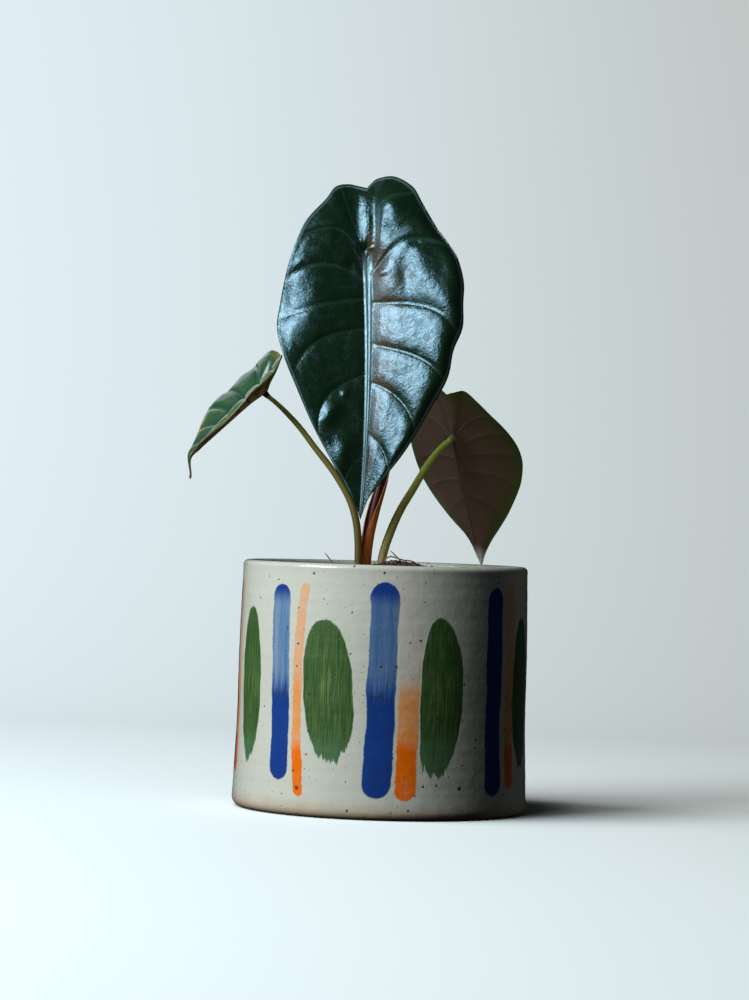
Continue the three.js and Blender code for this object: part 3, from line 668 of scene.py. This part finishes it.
def coir(name):
    """A fibre: a rod along its path, knotted by waves, running out to a point."""
    curve = spline(FIBRES[name], 40)
    shares = np.linspace(0, 1, 90)
    taper = 0.35 + 0.65 * np.sin(np.pi * np.clip(shares * 0.8 + 0.2, 0, 1)) ** 0.5
    angle = np.linspace(0, 2 * np.pi, 10, endpoint=False)
    knots = 1 + 0.18 * waves(shares[:, None] * 60 + angle, shares[:, None] * 23 - 2 * angle)
    shell = Shell()
    rod(shell, curve, FIBRE_RADIUS * taper[:, None] * knots, shares, 10)
    return shell.made(f"{name}_fibre", FIBRE_FINISH, "coir", name)


def fibre_finish():
    shade = Shade("coir_fibre")
    place = shade.place()
    colour = shade.mix(shade.noise(place, 1.2, 3.0), (0.09, 0.04, 0.018), (0.34, 0.2, 0.1))
    return shade.finish(Base_Color=colour, Roughness=0.7, Normal=shade.bump(shade.noise(place, 0.2), 0.08))


def corm_finish():
    shade = Shade("corm_skin")
    place = shade.place()
    _, _, z = shade.split(place)
    rings = shade.noise(shade.vector(0.0, 0.0, z), 1.5, 3.0)
    colour = shade.mix(rings, (0.06, 0.03, 0.014), (0.22, 0.12, 0.06))
    return shade.finish(Base_Color=colour, Roughness=0.8, Normal=shade.bump(shade.noise(place, 1.5, 4.0), 0.6))


# Blades

def midrib_point(leaf, share):
    """A point of the midrib: straight from its offset at the seat to the tip, bowed by a half sine."""
    tip_x, tip_y = leaf["east"][-1]
    offset, bow = leaf["midrib"]["offset"], leaf["midrib"]["bow"]
    x = offset + (tip_x - offset) * share + bow * np.sin(np.pi * share)
    return np.stack([x, tip_y * share], axis=-1)


def flat_half(leaf, side, margin, k, a):
    """The flat half blade: points blended between the two ribs on either side, on to both edges.

    k counts ribs from the sinus and a is the share of the way from the midrib to the margin.
    A rib bows off its chord by bow * (4u(1 - u)) ^ sharpness, u = a ^ (ln 0.5 / ln peak).
    """
    ribs = leaf["ribs"][side]
    turn = 1 if side == "east" else -1
    roots, ends = midrib_point(leaf, ribs[:, 0]), margin(ribs[:, 1])
    chords = ends - roots
    u = a[None] ** (np.log(0.5) / np.log(ribs[:, 3:4]))
    arch = turn * leaf["arching"] * ribs[:, 2:3] * np.maximum(4 * u * (1 - u), 0) ** ribs[:, 4:5]
    across = np.stack([-chords[:, 1], chords[:, 0]], axis=-1)
    curves = roots[:, None] + chords[:, None] * a[None, :, None] + across[:, None] * arch[..., None]
    above = np.minimum(np.floor(k).astype(int), len(ribs) - 2)
    f = (k - above)[:, None]
    start = ribs[above, 0] * (1 - f[:, 0]) + ribs[above + 1, 0] * f[:, 0]
    share = ribs[above, 1] * (1 - f[:, 0]) + ribs[above + 1, 1] * f[:, 0]
    inner = midrib_point(leaf, start) - (roots[above] * (1 - f) + roots[above + 1] * f)
    outer = margin(share) - (ends[above] * (1 - f) + ends[above + 1] * f)
    flat = curves[above] * (1 - f[..., None]) + curves[above + 1] * f[..., None]
    flat = flat + inner[:, None] * (1 - a)[None, :, None] + outer[:, None] * a[None, :, None]
    spacing = np.linalg.norm(curves[above + 1] - curves[above], axis=-1)
    return flat, start, share, spacing


def fold_height(x, y, middle_x, middle_y, direction, half_length, half_width, height):
    """A long soft hill, or a dent, on the flat blade: height * exp(-(u / length)² - (v / width)²)."""
    turn = math.radians(direction)
    u = (x - middle_x) * math.cos(turn) + (y - middle_y) * math.sin(turn)
    v = (y - middle_y) * math.cos(turn) - (x - middle_x) * math.sin(turn)
    return height * np.exp(-(u / half_length) ** 2 - (v / half_width) ** 2)


def half_blade(leaf, side, k, a):
    """A half blade, lifted off the flat one, with the values that its material reads.

    The halves rise from the midrib and fall back to the margin, by a power of the way out or, with
    power 0, straight down from a soft ridge at 0.62 of it. Each field between two ribs is
    puffed up, the ribs are grooves, the margin waves, and the midrib is a ridge with a groove.
    """
    margin = spline(leaf[side], 24, power=0)
    flat, start, share, spacing = flat_half(leaf, side, margin, k, a)
    x, y = flat[..., 0], flat[..., 1]
    tip_y = leaf["east"][-1][1]
    chord = margin(share) - midrib_point(leaf, start)
    dx, reach = np.abs(chord[:, :1]), np.linalg.norm(chord, axis=1)[:, None]
    rib_k, along = k[:, None], a[None]
    opening = np.minimum(rib_k, 1)
    size = np.minimum(1, reach / 20)
    rise, fall, power = leaf["cup"][side]
    fall = fall * (1 - leaf["relief"] * (1 - np.exp(-((y + 22) / 15) ** 2)) * (side == "west"))
    opening = opening ** 2
    roof = 0.06 * (np.log1p(np.exp((along - 0.62) / 0.06)) - math.log1p(math.exp(-0.62 / 0.06)))
    cup = dx * opening * (rise * along - fall * (along ** power if power else roof))
    cup = cup + leaf["shoulder"][side] * size * opening * smooth(along, 0, 0.34)
    field = np.where(rib_k < 1, (1 + rib_k) / 2, rib_k % 1)
    crown = 1 - np.abs(2 * field - 1) ** 4
    swell = leaf["puff"][side]
    puff = swell * size * crown * smooth(along, 0, 0.14) * (1 - 0.8 * smooth(along, 0.82, 1))
    turn = 1 if side == "east" else -1
    wave = leaf["wave"] * size * np.sin(2.1 * rib_k + turn) * along ** 5 * opening
    bend = leaf["bend"]
    length = np.where(y > 0, bend["lobes"], bend["tip"]) * y ** 2
    hook = bend["hook"] * smooth(y / tip_y, 0.8, 1) ** 2

    wide, narrow = leaf["midrib"]["band"]
    band = wide + (narrow - wide) * np.clip(y / tip_y, 0, 1) ** 0.7
    off = np.abs(x - midrib_point(leaf, np.clip(y / tip_y, 0, 1))[..., 0])
    down = smooth(y, 4, -4)
    tip_fade = 1 - smooth(start[:, None], 0.93, 1)
    midrib = (1 - smooth(off, band * 0.75, band * 1.15)) * down * tip_fade
    swollen = np.maximum(1 - (off / band) ** 2, 0) - 0.4 * np.exp(-(off / (band * 0.2)) ** 2)
    ridge = leaf["midrib"]["ridge"] * 1.5 * swollen * down * tip_fade
    nearest = np.round(rib_k)
    has_rib = (nearest > 0) & (nearest < len(leaf["ribs"][side]) - 1)
    to_rib = np.abs(rib_k - nearest) * spacing
    vein_width = 0.36 * (1 - 0.5 * along)
    vein = np.exp(-(to_rib / vein_width) ** 2) * has_rib * smooth(along * reach, 0.2, 1.5)
    to_margin = (1 - along) * reach
    rim = np.exp(-((to_margin - 1) / 0.3) ** 2) * smooth(reach, 5, 12)
    groove = swell * 0.06 * vein
    ripple = np.sin(x * 0.9 + 1.6 * np.sin(y * 0.31)) * np.sin(y * 0.7 + 1.3 * np.sin(x * 0.37))
    ripple = 0.025 * swell * ripple * crown * smooth(along, 0.08, 0.25) * smooth(reach, 8, 20)
    pit = leaf["pit"] * np.exp(-(x * x + y * y) / 25)
    lift = cup + puff + wave + length + hook + ridge - groove + ripple - pit + 0.14 * rim
    for fold in leaf["folds"]:
        lift = lift + fold_height(x, y, *fold)
    values = dict(vein=vein, midrib=midrib, rim=rim, across=along * reach * turn,
                  field=field + 0 * along, share=along + 0 * rib_k, down=start[:, None] + 0 * along)
    return x, y, lift, values


def leaf_points(leaf, x, y, height):
    """Flat x and y and a height over them, set on the seat in the leaf's own directions."""
    to_lobes = -np.array(leaf["to_tip"])
    upper = np.array(leaf["upper"])
    right = np.cross(to_lobes, upper)
    lean = leaf["lean"]
    y = y - lean * height
    z = math.sqrt(1 - lean ** 2) * height
    return np.array(leaf["seat"]) + x[..., None] * right + y[..., None] * to_lobes + z[..., None] * upper


def blade(name, material, slot, rows=26):
    """Both halves of a blade, their upper and lower faces, and the wall round the margin."""
    leaf = LEAVES[name]
    starts = np.unique(np.concatenate([leaf["ribs"]["east"][:, 0], leaf["ribs"]["west"][:, 0]]))
    tip_y = leaf["east"][-1][1]
    cell = -tip_y / (rows * 6.5)
    stations = np.concatenate([np.linspace(low, high, max(2, round((high - low) * -tip_y / cell)) + 1)[1:]
                               for low, high in zip(starts, starts[1:])])
    a = np.linspace(0, 1, 84)
    a = 0.72 * a + 0.28 * a ** 2
    shell = Shell()
    for side in ("east", "west"):
        ribs = leaf["ribs"][side]
        last = np.count_nonzero(ribs[:, 0] == 0) - 1
        fan = np.linspace(0, last, last * rows + 1)
        k = np.concatenate([fan, np.interp(stations, ribs[last:, 0], np.arange(last, len(ribs)))])
        x, y, lift, values = half_blade(leaf, side, k, a)
        keel = leaf["midrib"]["rib"] * np.exp(-(x / leaf["midrib"]["half_width"]) ** 2)
        keel *= smooth(y, tip_y, 6) * (1 - smooth(y, 1, 9))
        under_vein = 0.12 * values["vein"] + 0.25 * values["midrib"]
        thickness = BLADE_THICKNESS + (MARGIN_THICKNESS - BLADE_THICKNESS) * smooth(a, 0.5, 1) + keel
        points = leaf_points(leaf, x, y, lift)
        below = leaf_points(leaf, x, y, lift - thickness - 0.5 * under_vein * (1 - smooth(a, 0.8, 1)))
        faces = grid_faces(len(k), len(a), turned=side == "west")
        shell.add(points, faces, under=0.0, **values)
        shell.add(below, faces[:, ::-1], under=1.0, **values)
        edge = np.stack([points[:, -1], (points[:, -1] + below[:, -1]) / 2, below[:, -1]], axis=1)
        rim_values = {key: value[:, -1:] for key, value in values.items()}
        shell.add(edge, grid_faces(len(k), 3, turned=side == "west"), under=np.array([0.0, 0.5, 1.0]), **rim_values)
    return shell.made(f"leaf_{name}_surface", material, slot, f"leaf_{name}_blade")


def seat_point(leaf):
    depth = BLADE_THICKNESS + leaf["midrib"]["rib"] + leaf["pit"] + 0.9
    return np.array(leaf["seat"]) - depth * np.array(leaf["upper"])


def stalk_line(name):
    """The stalk's centre line, from its foot on the corm to its seat under the blade."""
    path = STALKS[name]["path"]
    foot = (*path[0][:2], CORM_TOP + CLEARANCE)
    return spline([foot, *path, seat_point(LEAVES[name])], 40)


def grown_on(name, line):
    """The same line carried on into the blade, so that stalk and blade are one."""
    seat = seat_point(LEAVES[name])
    end = seat + 1.4 * np.array(LEAVES[name]["upper"])
    return spline([*line(np.linspace(0, 1, 60)), end], 4)


def stalk(name, material, slot):
    """A stalk: a rod that thins towards its blade, with faint ribs, and widens again in its seat."""
    curve = grown_on(name, stalk_line(name))
    shares = np.linspace(0, 1, 260)
    foot, top = STALKS[name]["radii"]
    radius = foot + (top - foot) * shares ** 2 + 0.5 * smooth(shares, 0.965, 1)
    angle = np.linspace(0, 2 * np.pi, 40, endpoint=False)
    ribs = 1 + 0.025 * np.cos(9 * angle) + 0.02 * waves(shares[:, None] * 25 + angle)
    shell = Shell()
    rod(shell, curve, radius[:, None] * ribs, shares, 40)
    return shell.made(f"leaf_{name}_stalk", material, slot, f"leaf_{name}_petiole")


def sheath():
    """The papery sheath: a sheet rolled round the front stalk, open to the front left, drawn out
    to a strip at its top. Angle = slit + pi + half * (1 - 2v), with half the angle it covers."""
    curve = stalk_line("front")
    share = np.linspace(0, 1, 170)
    end = (SHEATH_TOP - CORM_TOP - CLEARANCE) / curve.length
    centre, side, back = frames_along(curve, share * end)
    open_by = SHEATH_SLIT["low"] + (SHEATH_SLIT["high"] - SHEATH_SLIT["low"]) * smooth(share, 0.3, 0.65)
    half = np.pi - open_by
    half = half + (SHEATH_TIP - half) * smooth(share, 0.6, 1)
    v = np.linspace(0, 1, 72)
    angle = SHEATH_SLIT["direction"] + np.pi + half[:, None] * (1 - 2 * v)
    bore = STALKS["front"]["radii"][0] + CLEARANCE + 0.1 + SHEATH_FLARE * smooth(share, 0.2, 0.9)
    inner = bore[:, None] + 0 * v
    curl = np.abs(2 * v - 1) ** 6 * 0.25 * smooth(share, 0.4, 0.7)[:, None]
    outer = inner + SHEATH_WALL - 0.1 + 0.05 * np.cos(angle * 26) * (1 - curl)
    ring = side[:, None] * np.cos(angle)[..., None] + back[:, None] * np.sin(angle)[..., None]
    faces = {key: centre[:, None] + ring * radius[..., None] for key, radius in (("out", outer), ("in", inner + curl))}
    shell = Shell()
    along = share[:, None] + 0 * v
    shell.add(faces["out"], grid_faces(len(share), len(v), turned=True), along=along, inside=0.0)
    shell.add(faces["in"], grid_faces(len(share), len(v)), along=along, inside=1.0)
    for line, turned in ((0, False), (-1, True)):
        edge = np.stack([faces["out"][:, line], faces["in"][:, line]], axis=1)
        shell.add(edge, grid_faces(len(share), 2, turned=turned), along=along[:, :2], inside=0.5)
        edge = np.stack([faces["out"][line], faces["in"][line]], axis=1)
        shell.add(edge, grid_faces(len(v), 2, turned=not turned), along=along[line, :1], inside=0.5)
    return shell.made("cataphyll_sheath", sheath_finish(), "sheath", "cataphyll")


# Finishes of the plant

def crinkles(shade, place, size):
    """The fine net of a blade: cells between the smallest veins, and a softer unevenness."""
    net = shade.cells(place, size, "DISTANCE_TO_EDGE")
    return shade.ramp(net, 0.0, 0.35) * 0.3 + shade.noise(place, size * 0.6, 4.0, 0.65) * 0.8


def front_finish():
    """Glossy dark green with a painted coppery sheen beside the midrib on its east half, a silver midrib, and a
    purple-brown underside.
    """
    shade = Shade("dark_glossy_blade")
    place = shade.place()
    under, vein, midrib, rim = [shade.attribute(name) for name in ("under", "vein", "midrib", "rim")]
    share = shade.attribute("share")
    colour = shade.mix(shade.noise(place, 9, 3.0), (0.004, 0.014, 0.007), (0.01, 0.03, 0.012))
    # Painted sheen: a coppery brown tint beside the midrib, on the east half only, standing in for the leaf's metallic
    # sheen under the light from the left.
    painted_bronze_sheen = shade.ramp(share, 0.5, 0.1) * shade.ramp(shade.attribute("across"), 0.5, 3.0)
    colour = shade.mix(painted_bronze_sheen * 0.8, colour, (0.085, 0.055, 0.026))
    colour = shade.mix(vein * 0.4, colour, (0.035, 0.085, 0.07))
    colour = shade.mix(rim * 0.8, colour, (0.13, 0.24, 0.24))
    streak = shade.noise(place, 1.2, 2.0)
    colour = shade.mix(midrib * (0.75 + streak * 0.3), colour, (0.16, 0.26, 0.28))
    back = shade.mix(shade.noise(place, 8, 3.0), (0.1, 0.05, 0.045), (0.15, 0.075, 0.06))
    back = shade.mix(vein.larger(midrib) * 0.8, back, (0.045, 0.012, 0.018))
    colour = shade.mix(under, colour, back)
    x, y, z = shade.split(place)
    streaked = shade.noise(shade.vector(x * 1.3 - z * 1.1, y, z * 0.3 + x * 0.25), 1.1, 4.0, 0.65)
    dull = shade.ramp(shade.noise(place, 4, 5.0, 0.7), 0.48, 0.62) * (1 - midrib)
    height = crinkles(shade, place, 1.3) + streaked * 1.3 + shade.noise(place, 3.4, 3.0, 0.6) * 3.2
    return shade.finish(
        Base_Color=colour, Roughness=0.21 + under * 0.3 + (streak - 0.5) * 0.12 + dull * 0.2, IOR=1.95,
        Specular_Tint=(0.44, 0.78, 1.0), Coat_Weight=(1 - under) * (0.22 - dull * 0.18), Coat_Roughness=0.1,
        Normal=shade.bump(height, 0.1))


def left_finish():
    """Satin mid green with painted shade, darker blue-green, in the grooves along the veins, brown-rimmed,
    purple-brown below.
    """
    shade = Shade("young_green_blade")
    place = shade.place()
    under, vein, midrib = [shade.attribute(name) for name in ("under", "vein", "midrib")]
    share, field = shade.attribute("share"), shade.attribute("field")
    colour = shade.mix(shade.noise(place, 5, 3.0), (0.01, 0.05, 0.022), (0.028, 0.1, 0.026))
    # Painted shade: darker blue-green in the grooves along the ribs.
    rib_groove_shade = shade.ramp((field - 0.5).absolute(), 0.28, 0.5)
    colour = shade.mix(rib_groove_shade * 0.75, colour, (0.012, 0.06, 0.04))
    colour = shade.mix(shade.ramp(share, 0.3, 0.0) * 0.7, colour, (0.006, 0.035, 0.03))
    colour = shade.mix(shade.ramp(share, 0.7, 1.0) * 0.6, colour, (0.07, 0.13, 0.02))
    rust = shade.ramp(share, 0.55, 1.0) * shade.ramp(shade.noise(place, 9, 2.0), 0.5, 0.64)
    colour = shade.mix(rust * 0.75, colour, (0.1, 0.085, 0.012))
    colour = shade.mix((vein * 0.35).larger(midrib * 0.6), colour, (0.03, 0.1, 0.08))
    back = shade.mix(shade.noise(place, 6, 2.0), (0.3, 0.24, 0.08), (0.2, 0.13, 0.06))
    back = shade.mix(vein * 0.6, back, (0.09, 0.04, 0.03))
    colour = shade.mix(under, colour, back)
    tip = shade.ramp(shade.attribute("down"), 0.93, 0.99)
    colour = shade.mix(tip, colour, (0.2, 0.12, 0.05))
    height = crinkles(shade, place, 1.3)
    return shade.finish(
        Base_Color=colour, Roughness=0.3 + under * 0.2, Specular_IOR_Level=0.6,
        Coat_Weight=(1 - under) * 0.4, Coat_Roughness=0.18, Normal=shade.bump(height, 0.05))


def right_finish():
    """Green above; below purple-brown, greener to the margin, with darker veins and a pale tip."""
    shade = Shade("purple_brown_underside")
    place = shade.place()
    under, vein, midrib = [shade.attribute(name) for name in ("under", "vein", "midrib")]
    share, across = shade.attribute("share"), shade.attribute("across")
    top = shade.mix(shade.noise(place, 7, 3.0), (0.02, 0.07, 0.03), (0.04, 0.11, 0.045))
    top = shade.mix((vein * 0.5).larger(midrib * 0.8), top, (0.08, 0.14, 0.1))
    back = shade.mix(shade.noise(place, 8, 3.0), (0.07, 0.045, 0.03), (0.1, 0.06, 0.042))
    green = shade.ramp(share, 0.3, 1.0) * shade.ramp(across, 2.0, -10.0)
    back = shade.mix(green * 0.85, back, (0.055, 0.06, 0.014))
    back = shade.mix(shade.ramp(share, 0.86, 1.0) * 0.7, back, (0.03, 0.075, 0.008))
    back = shade.mix((vein * 0.25).larger(midrib * 0.5), back, (0.028, 0.01, 0.013))
    tip = shade.ramp(shade.attribute("down"), 0.8, 0.97)
    back = shade.mix(tip * 0.9, back, (0.62, 0.6, 0.53))
    colour = shade.mix(under, top, back)
    height = crinkles(shade, place, 1.5)
    return shade.finish(
        Base_Color=colour, Roughness=0.42 + under * 0.1, Specular_IOR_Level=0.5,
        Coat_Weight=(1 - under) * 0.3, Coat_Roughness=0.25, Normal=shade.bump(height, 0.05))


def stalk_finish(name, foot, top, turn_at, collar):
    """Smooth skin that passes from its foot's colour to its top's, with short dark flecks and a
    collar under the blade."""
    shade = Shade(name)
    place = shade.place()
    along = shade.attribute("along")
    x, y, z = shade.split(place)
    stretched = shade.vector(x, y, z * 0.15)
    colour = shade.mix(shade.ramp(along, turn_at[0], turn_at[1]), foot, top)
    flecks = shade.ramp(shade.noise(stretched, 0.6, 3.0), 0.55, 0.75)
    colour = shade.mix(flecks * 0.45, colour, (0.05, 0.022, 0.01))
    colour = shade.mix(shade.ramp(along, 0.965, 0.98), colour, collar)
    return shade.finish(
        Base_Color=colour, Roughness=0.42, Specular_IOR_Level=0.5, Subsurface_Weight=0.0,
        Normal=shade.bump(shade.noise(stretched, 0.4, 2.0), 0.05))


def sheath_finish():
    """Dry rust-brown paper with lengthwise fibres, painted shade darkening its inside to dark red, lighter at its torn
    edges.
    """
    shade = Shade("rust_brown_sheath")
    place = shade.place()
    inside, along = shade.attribute("inside"), shade.attribute("along")
    x, y, z = shade.split(place)
    fibres = shade.noise(shade.vector(x, y, z * 0.08), 0.5, 4.0, 0.65)
    colour = shade.mix(shade.ramp(fibres, 0.3, 0.7), (0.17, 0.035, 0.005), (0.45, 0.13, 0.015))
    colour = shade.mix(shade.ramp(along, 0.7, 0.95) * 0.6, colour, (0.55, 0.24, 0.06))
    colour = shade.mix(shade.ramp(along, 0.25, 0.02) * 0.6, colour, (0.06, 0.03, 0.012))
    edge = shade.ramp((inside - 0.5).absolute(), 0.3, 0.05)
    # Painted shade: the inner face is darkened to a deep red.
    colour = shade.mix(shade.ramp(inside, 0.6, 1.0), colour, (0.06, 0.005, 0.004))
    colour = shade.mix(edge * 0.7, colour, (0.5, 0.26, 0.09))
    return shade.finish(Base_Color=colour, Roughness=0.48, Normal=shade.bump(fibres, 0.12))


# Stage, lights and camera

def backdrop():
    """One seamless sheet: a floor that turns up into a wall behind the plant on a large arc."""
    low = [(-3.0, 0.0), (0.5, 0.0)]
    bend = arc(0.5, 0.9, 0.9, -np.pi / 2, 0, 40).tolist()
    profile = np.array(low + bend + [(1.4, 4.0)])
    across = np.linspace(-3, 3, 30)
    points = np.stack([
        across[None] + 0 * profile[:, :1], profile[:, :1] + 0 * across, profile[:, 1:] + 0 * across], axis=-1)
    mesh = bpy.data.meshes.new("paper_sweep")
    mesh.from_pydata(points.reshape(-1, 3).tolist(), [], grid_faces(len(profile), len(across)).tolist())
    mesh.shade_smooth()
    shade = Shade("pale_paper")
    place = shade.node("ShaderNodeTexCoord", output="Object")
    x, _, _ = shade.split(place)
    # Painted light: the sheet is paler and bluer to the left, towards the window, and greyer to the right.
    colour = shade.mix(shade.ramp(x, -0.35, 0.4), (0.70, 0.78, 0.81), (0.62, 0.66, 0.63))
    back = shade.node("ShaderNodeNewGeometry", output="Backfacing")
    mesh.materials.append(shade.finish(
        Base_Color=colour, Roughness=0.9, Specular_IOR_Level=0.1, Alpha=1 - back))
    sweep = bpy.data.objects.new("paper_sweep", mesh)
    sweep.visible_diffuse = False
    sweep.visible_glossy = False
    bpy.context.scene.collection.objects.link(sweep)
    return sweep


def area_light(name, place, target, size, power, colour):
    light = bpy.data.lights.new(name, "AREA")
    light.shape = "RECTANGLE"
    light.size, light.size_y = size
    light.energy = power
    light.color = colour
    lamp = bpy.data.objects.new(name, light)
    lamp.location = place
    lamp.rotation_euler = (Vector(target) - Vector(place)).to_track_quat("-Z", "Y").to_euler()
    bpy.context.scene.collection.objects.link(lamp)
    return lamp


def around_plant(azimuth, elevation, distance, height=0.16):
    """A place at a distance from the plant: azimuth 0 is towards the camera, positive to the left."""
    flat, up = math.cos(math.radians(elevation)) * distance, math.sin(math.radians(elevation)) * distance
    turn = math.radians(azimuth)
    return (-flat * math.sin(turn), -flat * math.cos(turn), height + up)


def light_only(lamp, *pieces):
    """The lamp lights these pieces and nothing else."""
    lit = bpy.data.collections.new(f"lit_by_{lamp.name}")
    for piece in pieces:
        lit.objects.link(piece)
    lamp.light_linking.receiver_collection = lit


def lights(sweep, shaded, pot_piece, young_leaf):
    """A wide window to the left, a lamp for the sheet, a faint one for the plant's shaded side,
    and a dark room."""
    area_light("window", around_plant(57, 28, 1.5), (0, 0, 0.16), (0.95, 1.1), 34, (0.88, 0.95, 1.0))
    wash = area_light("wall_wash", (-0.9, -0.2, 2.2), (0.1, 1.3, 0.5), (1.6, 0.8), 43, (0.98, 0.98, 0.97))
    light_only(wash, sweep)
    bounce = area_light("bounce", around_plant(-10, 5, 1.4), (0, 0, 0.14), (0.8, 0.8), 6, (1.0, 0.98, 0.9))
    bounce.visible_glossy = False
    light_only(bounce, *shaded)
    side = area_light("far_side", around_plant(-122, 4, 1.2), (0.02, 0, 0.05), (0.3, 0.5), 0.8, (0.9, 0.97, 1.0))
    side.visible_glossy = False
    light_only(side, pot_piece)
    behind = area_light("back_fill", around_plant(178, 16, 1.6), (0, 0, 0.12), (1.2, 1.0), 26, (0.95, 0.98, 1.0))
    behind.data.specular_factor = 0.15
    light_only(behind, *[piece for piece in shaded if piece != young_leaf])
    sky = area_light("far_window", (-0.5, 1.15, 0.75), (-0.02, 0, 0.16), (0.9, 0.7), 2.2, (0.86, 0.95, 1.0))
    light_only(sky, young_leaf)
    world = bpy.data.worlds.new("room")
    world.use_nodes = True
    world.node_tree.nodes["Background"].inputs["Color"].default_value = (0.75, 0.85, 1.0, 1)
    world.node_tree.nodes["Background"].inputs["Strength"].default_value = 0.01
    bpy.context.scene.world = world
    bpy.context.scene.view_settings.view_transform = "Standard"


def camera():
    data = bpy.data.cameras.new("camera")
    data.sensor_width = SENSOR
    data.lens = FOCAL_PIXELS / IMAGE_HEIGHT * SENSOR
    data.clip_end = 20
    eye = bpy.data.objects.new("camera", data)
    tilt = Matrix.Rotation(math.radians(90 + CAMERA_TILT), 4, "X")
    roll = Matrix.Rotation(math.radians(CAMERA_ROLL), 4, "Z")
    eye.matrix_world = Matrix.Translation(Vector(CAMERA_PLACE) * MM) @ tilt @ roll
    bpy.context.scene.collection.objects.link(eye)
    bpy.context.scene.camera = eye


pot_piece = pot()
earth_piece = soil()
FIBRE_FINISH = fibre_finish()
fibres = [coir(name) for name in FIBRES]
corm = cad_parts["corm"]
corm.data.materials.clear()
corm.data.materials.append(corm_finish())
blades = [
    blade("front", front_finish(), "front_blade", rows=30),
    blade("left", left_finish(), "left_blade", rows=22),
    blade("right", right_finish(), "right_blade", rows=22)]
stalks = [
    stalk("front", stalk_finish(
        "red_brown_stalk", (0.055, 0.008, 0.005), (0.09, 0.03, 0.012), (0.2, 0.9), (0.05, 0.02, 0.02)), "front_petiole"),
    stalk("left", stalk_finish(
        "olive_stalk", (0.08, 0.06, 0.012), (0.26, 0.24, 0.05), (0.1, 0.9), (0.02, 0.006, 0.012)), "left_petiole"),
    stalk("right", stalk_finish(
        "green_stalk", (0.2, 0.18, 0.05), (0.26, 0.34, 0.04), (0.35, 0.95), (0.12, 0.16, 0.06)), "right_petiole")]
lights(backdrop(), [earth_piece, *blades, sheath(), *fibres, *stalks], pot_piece, blades[1])
camera()
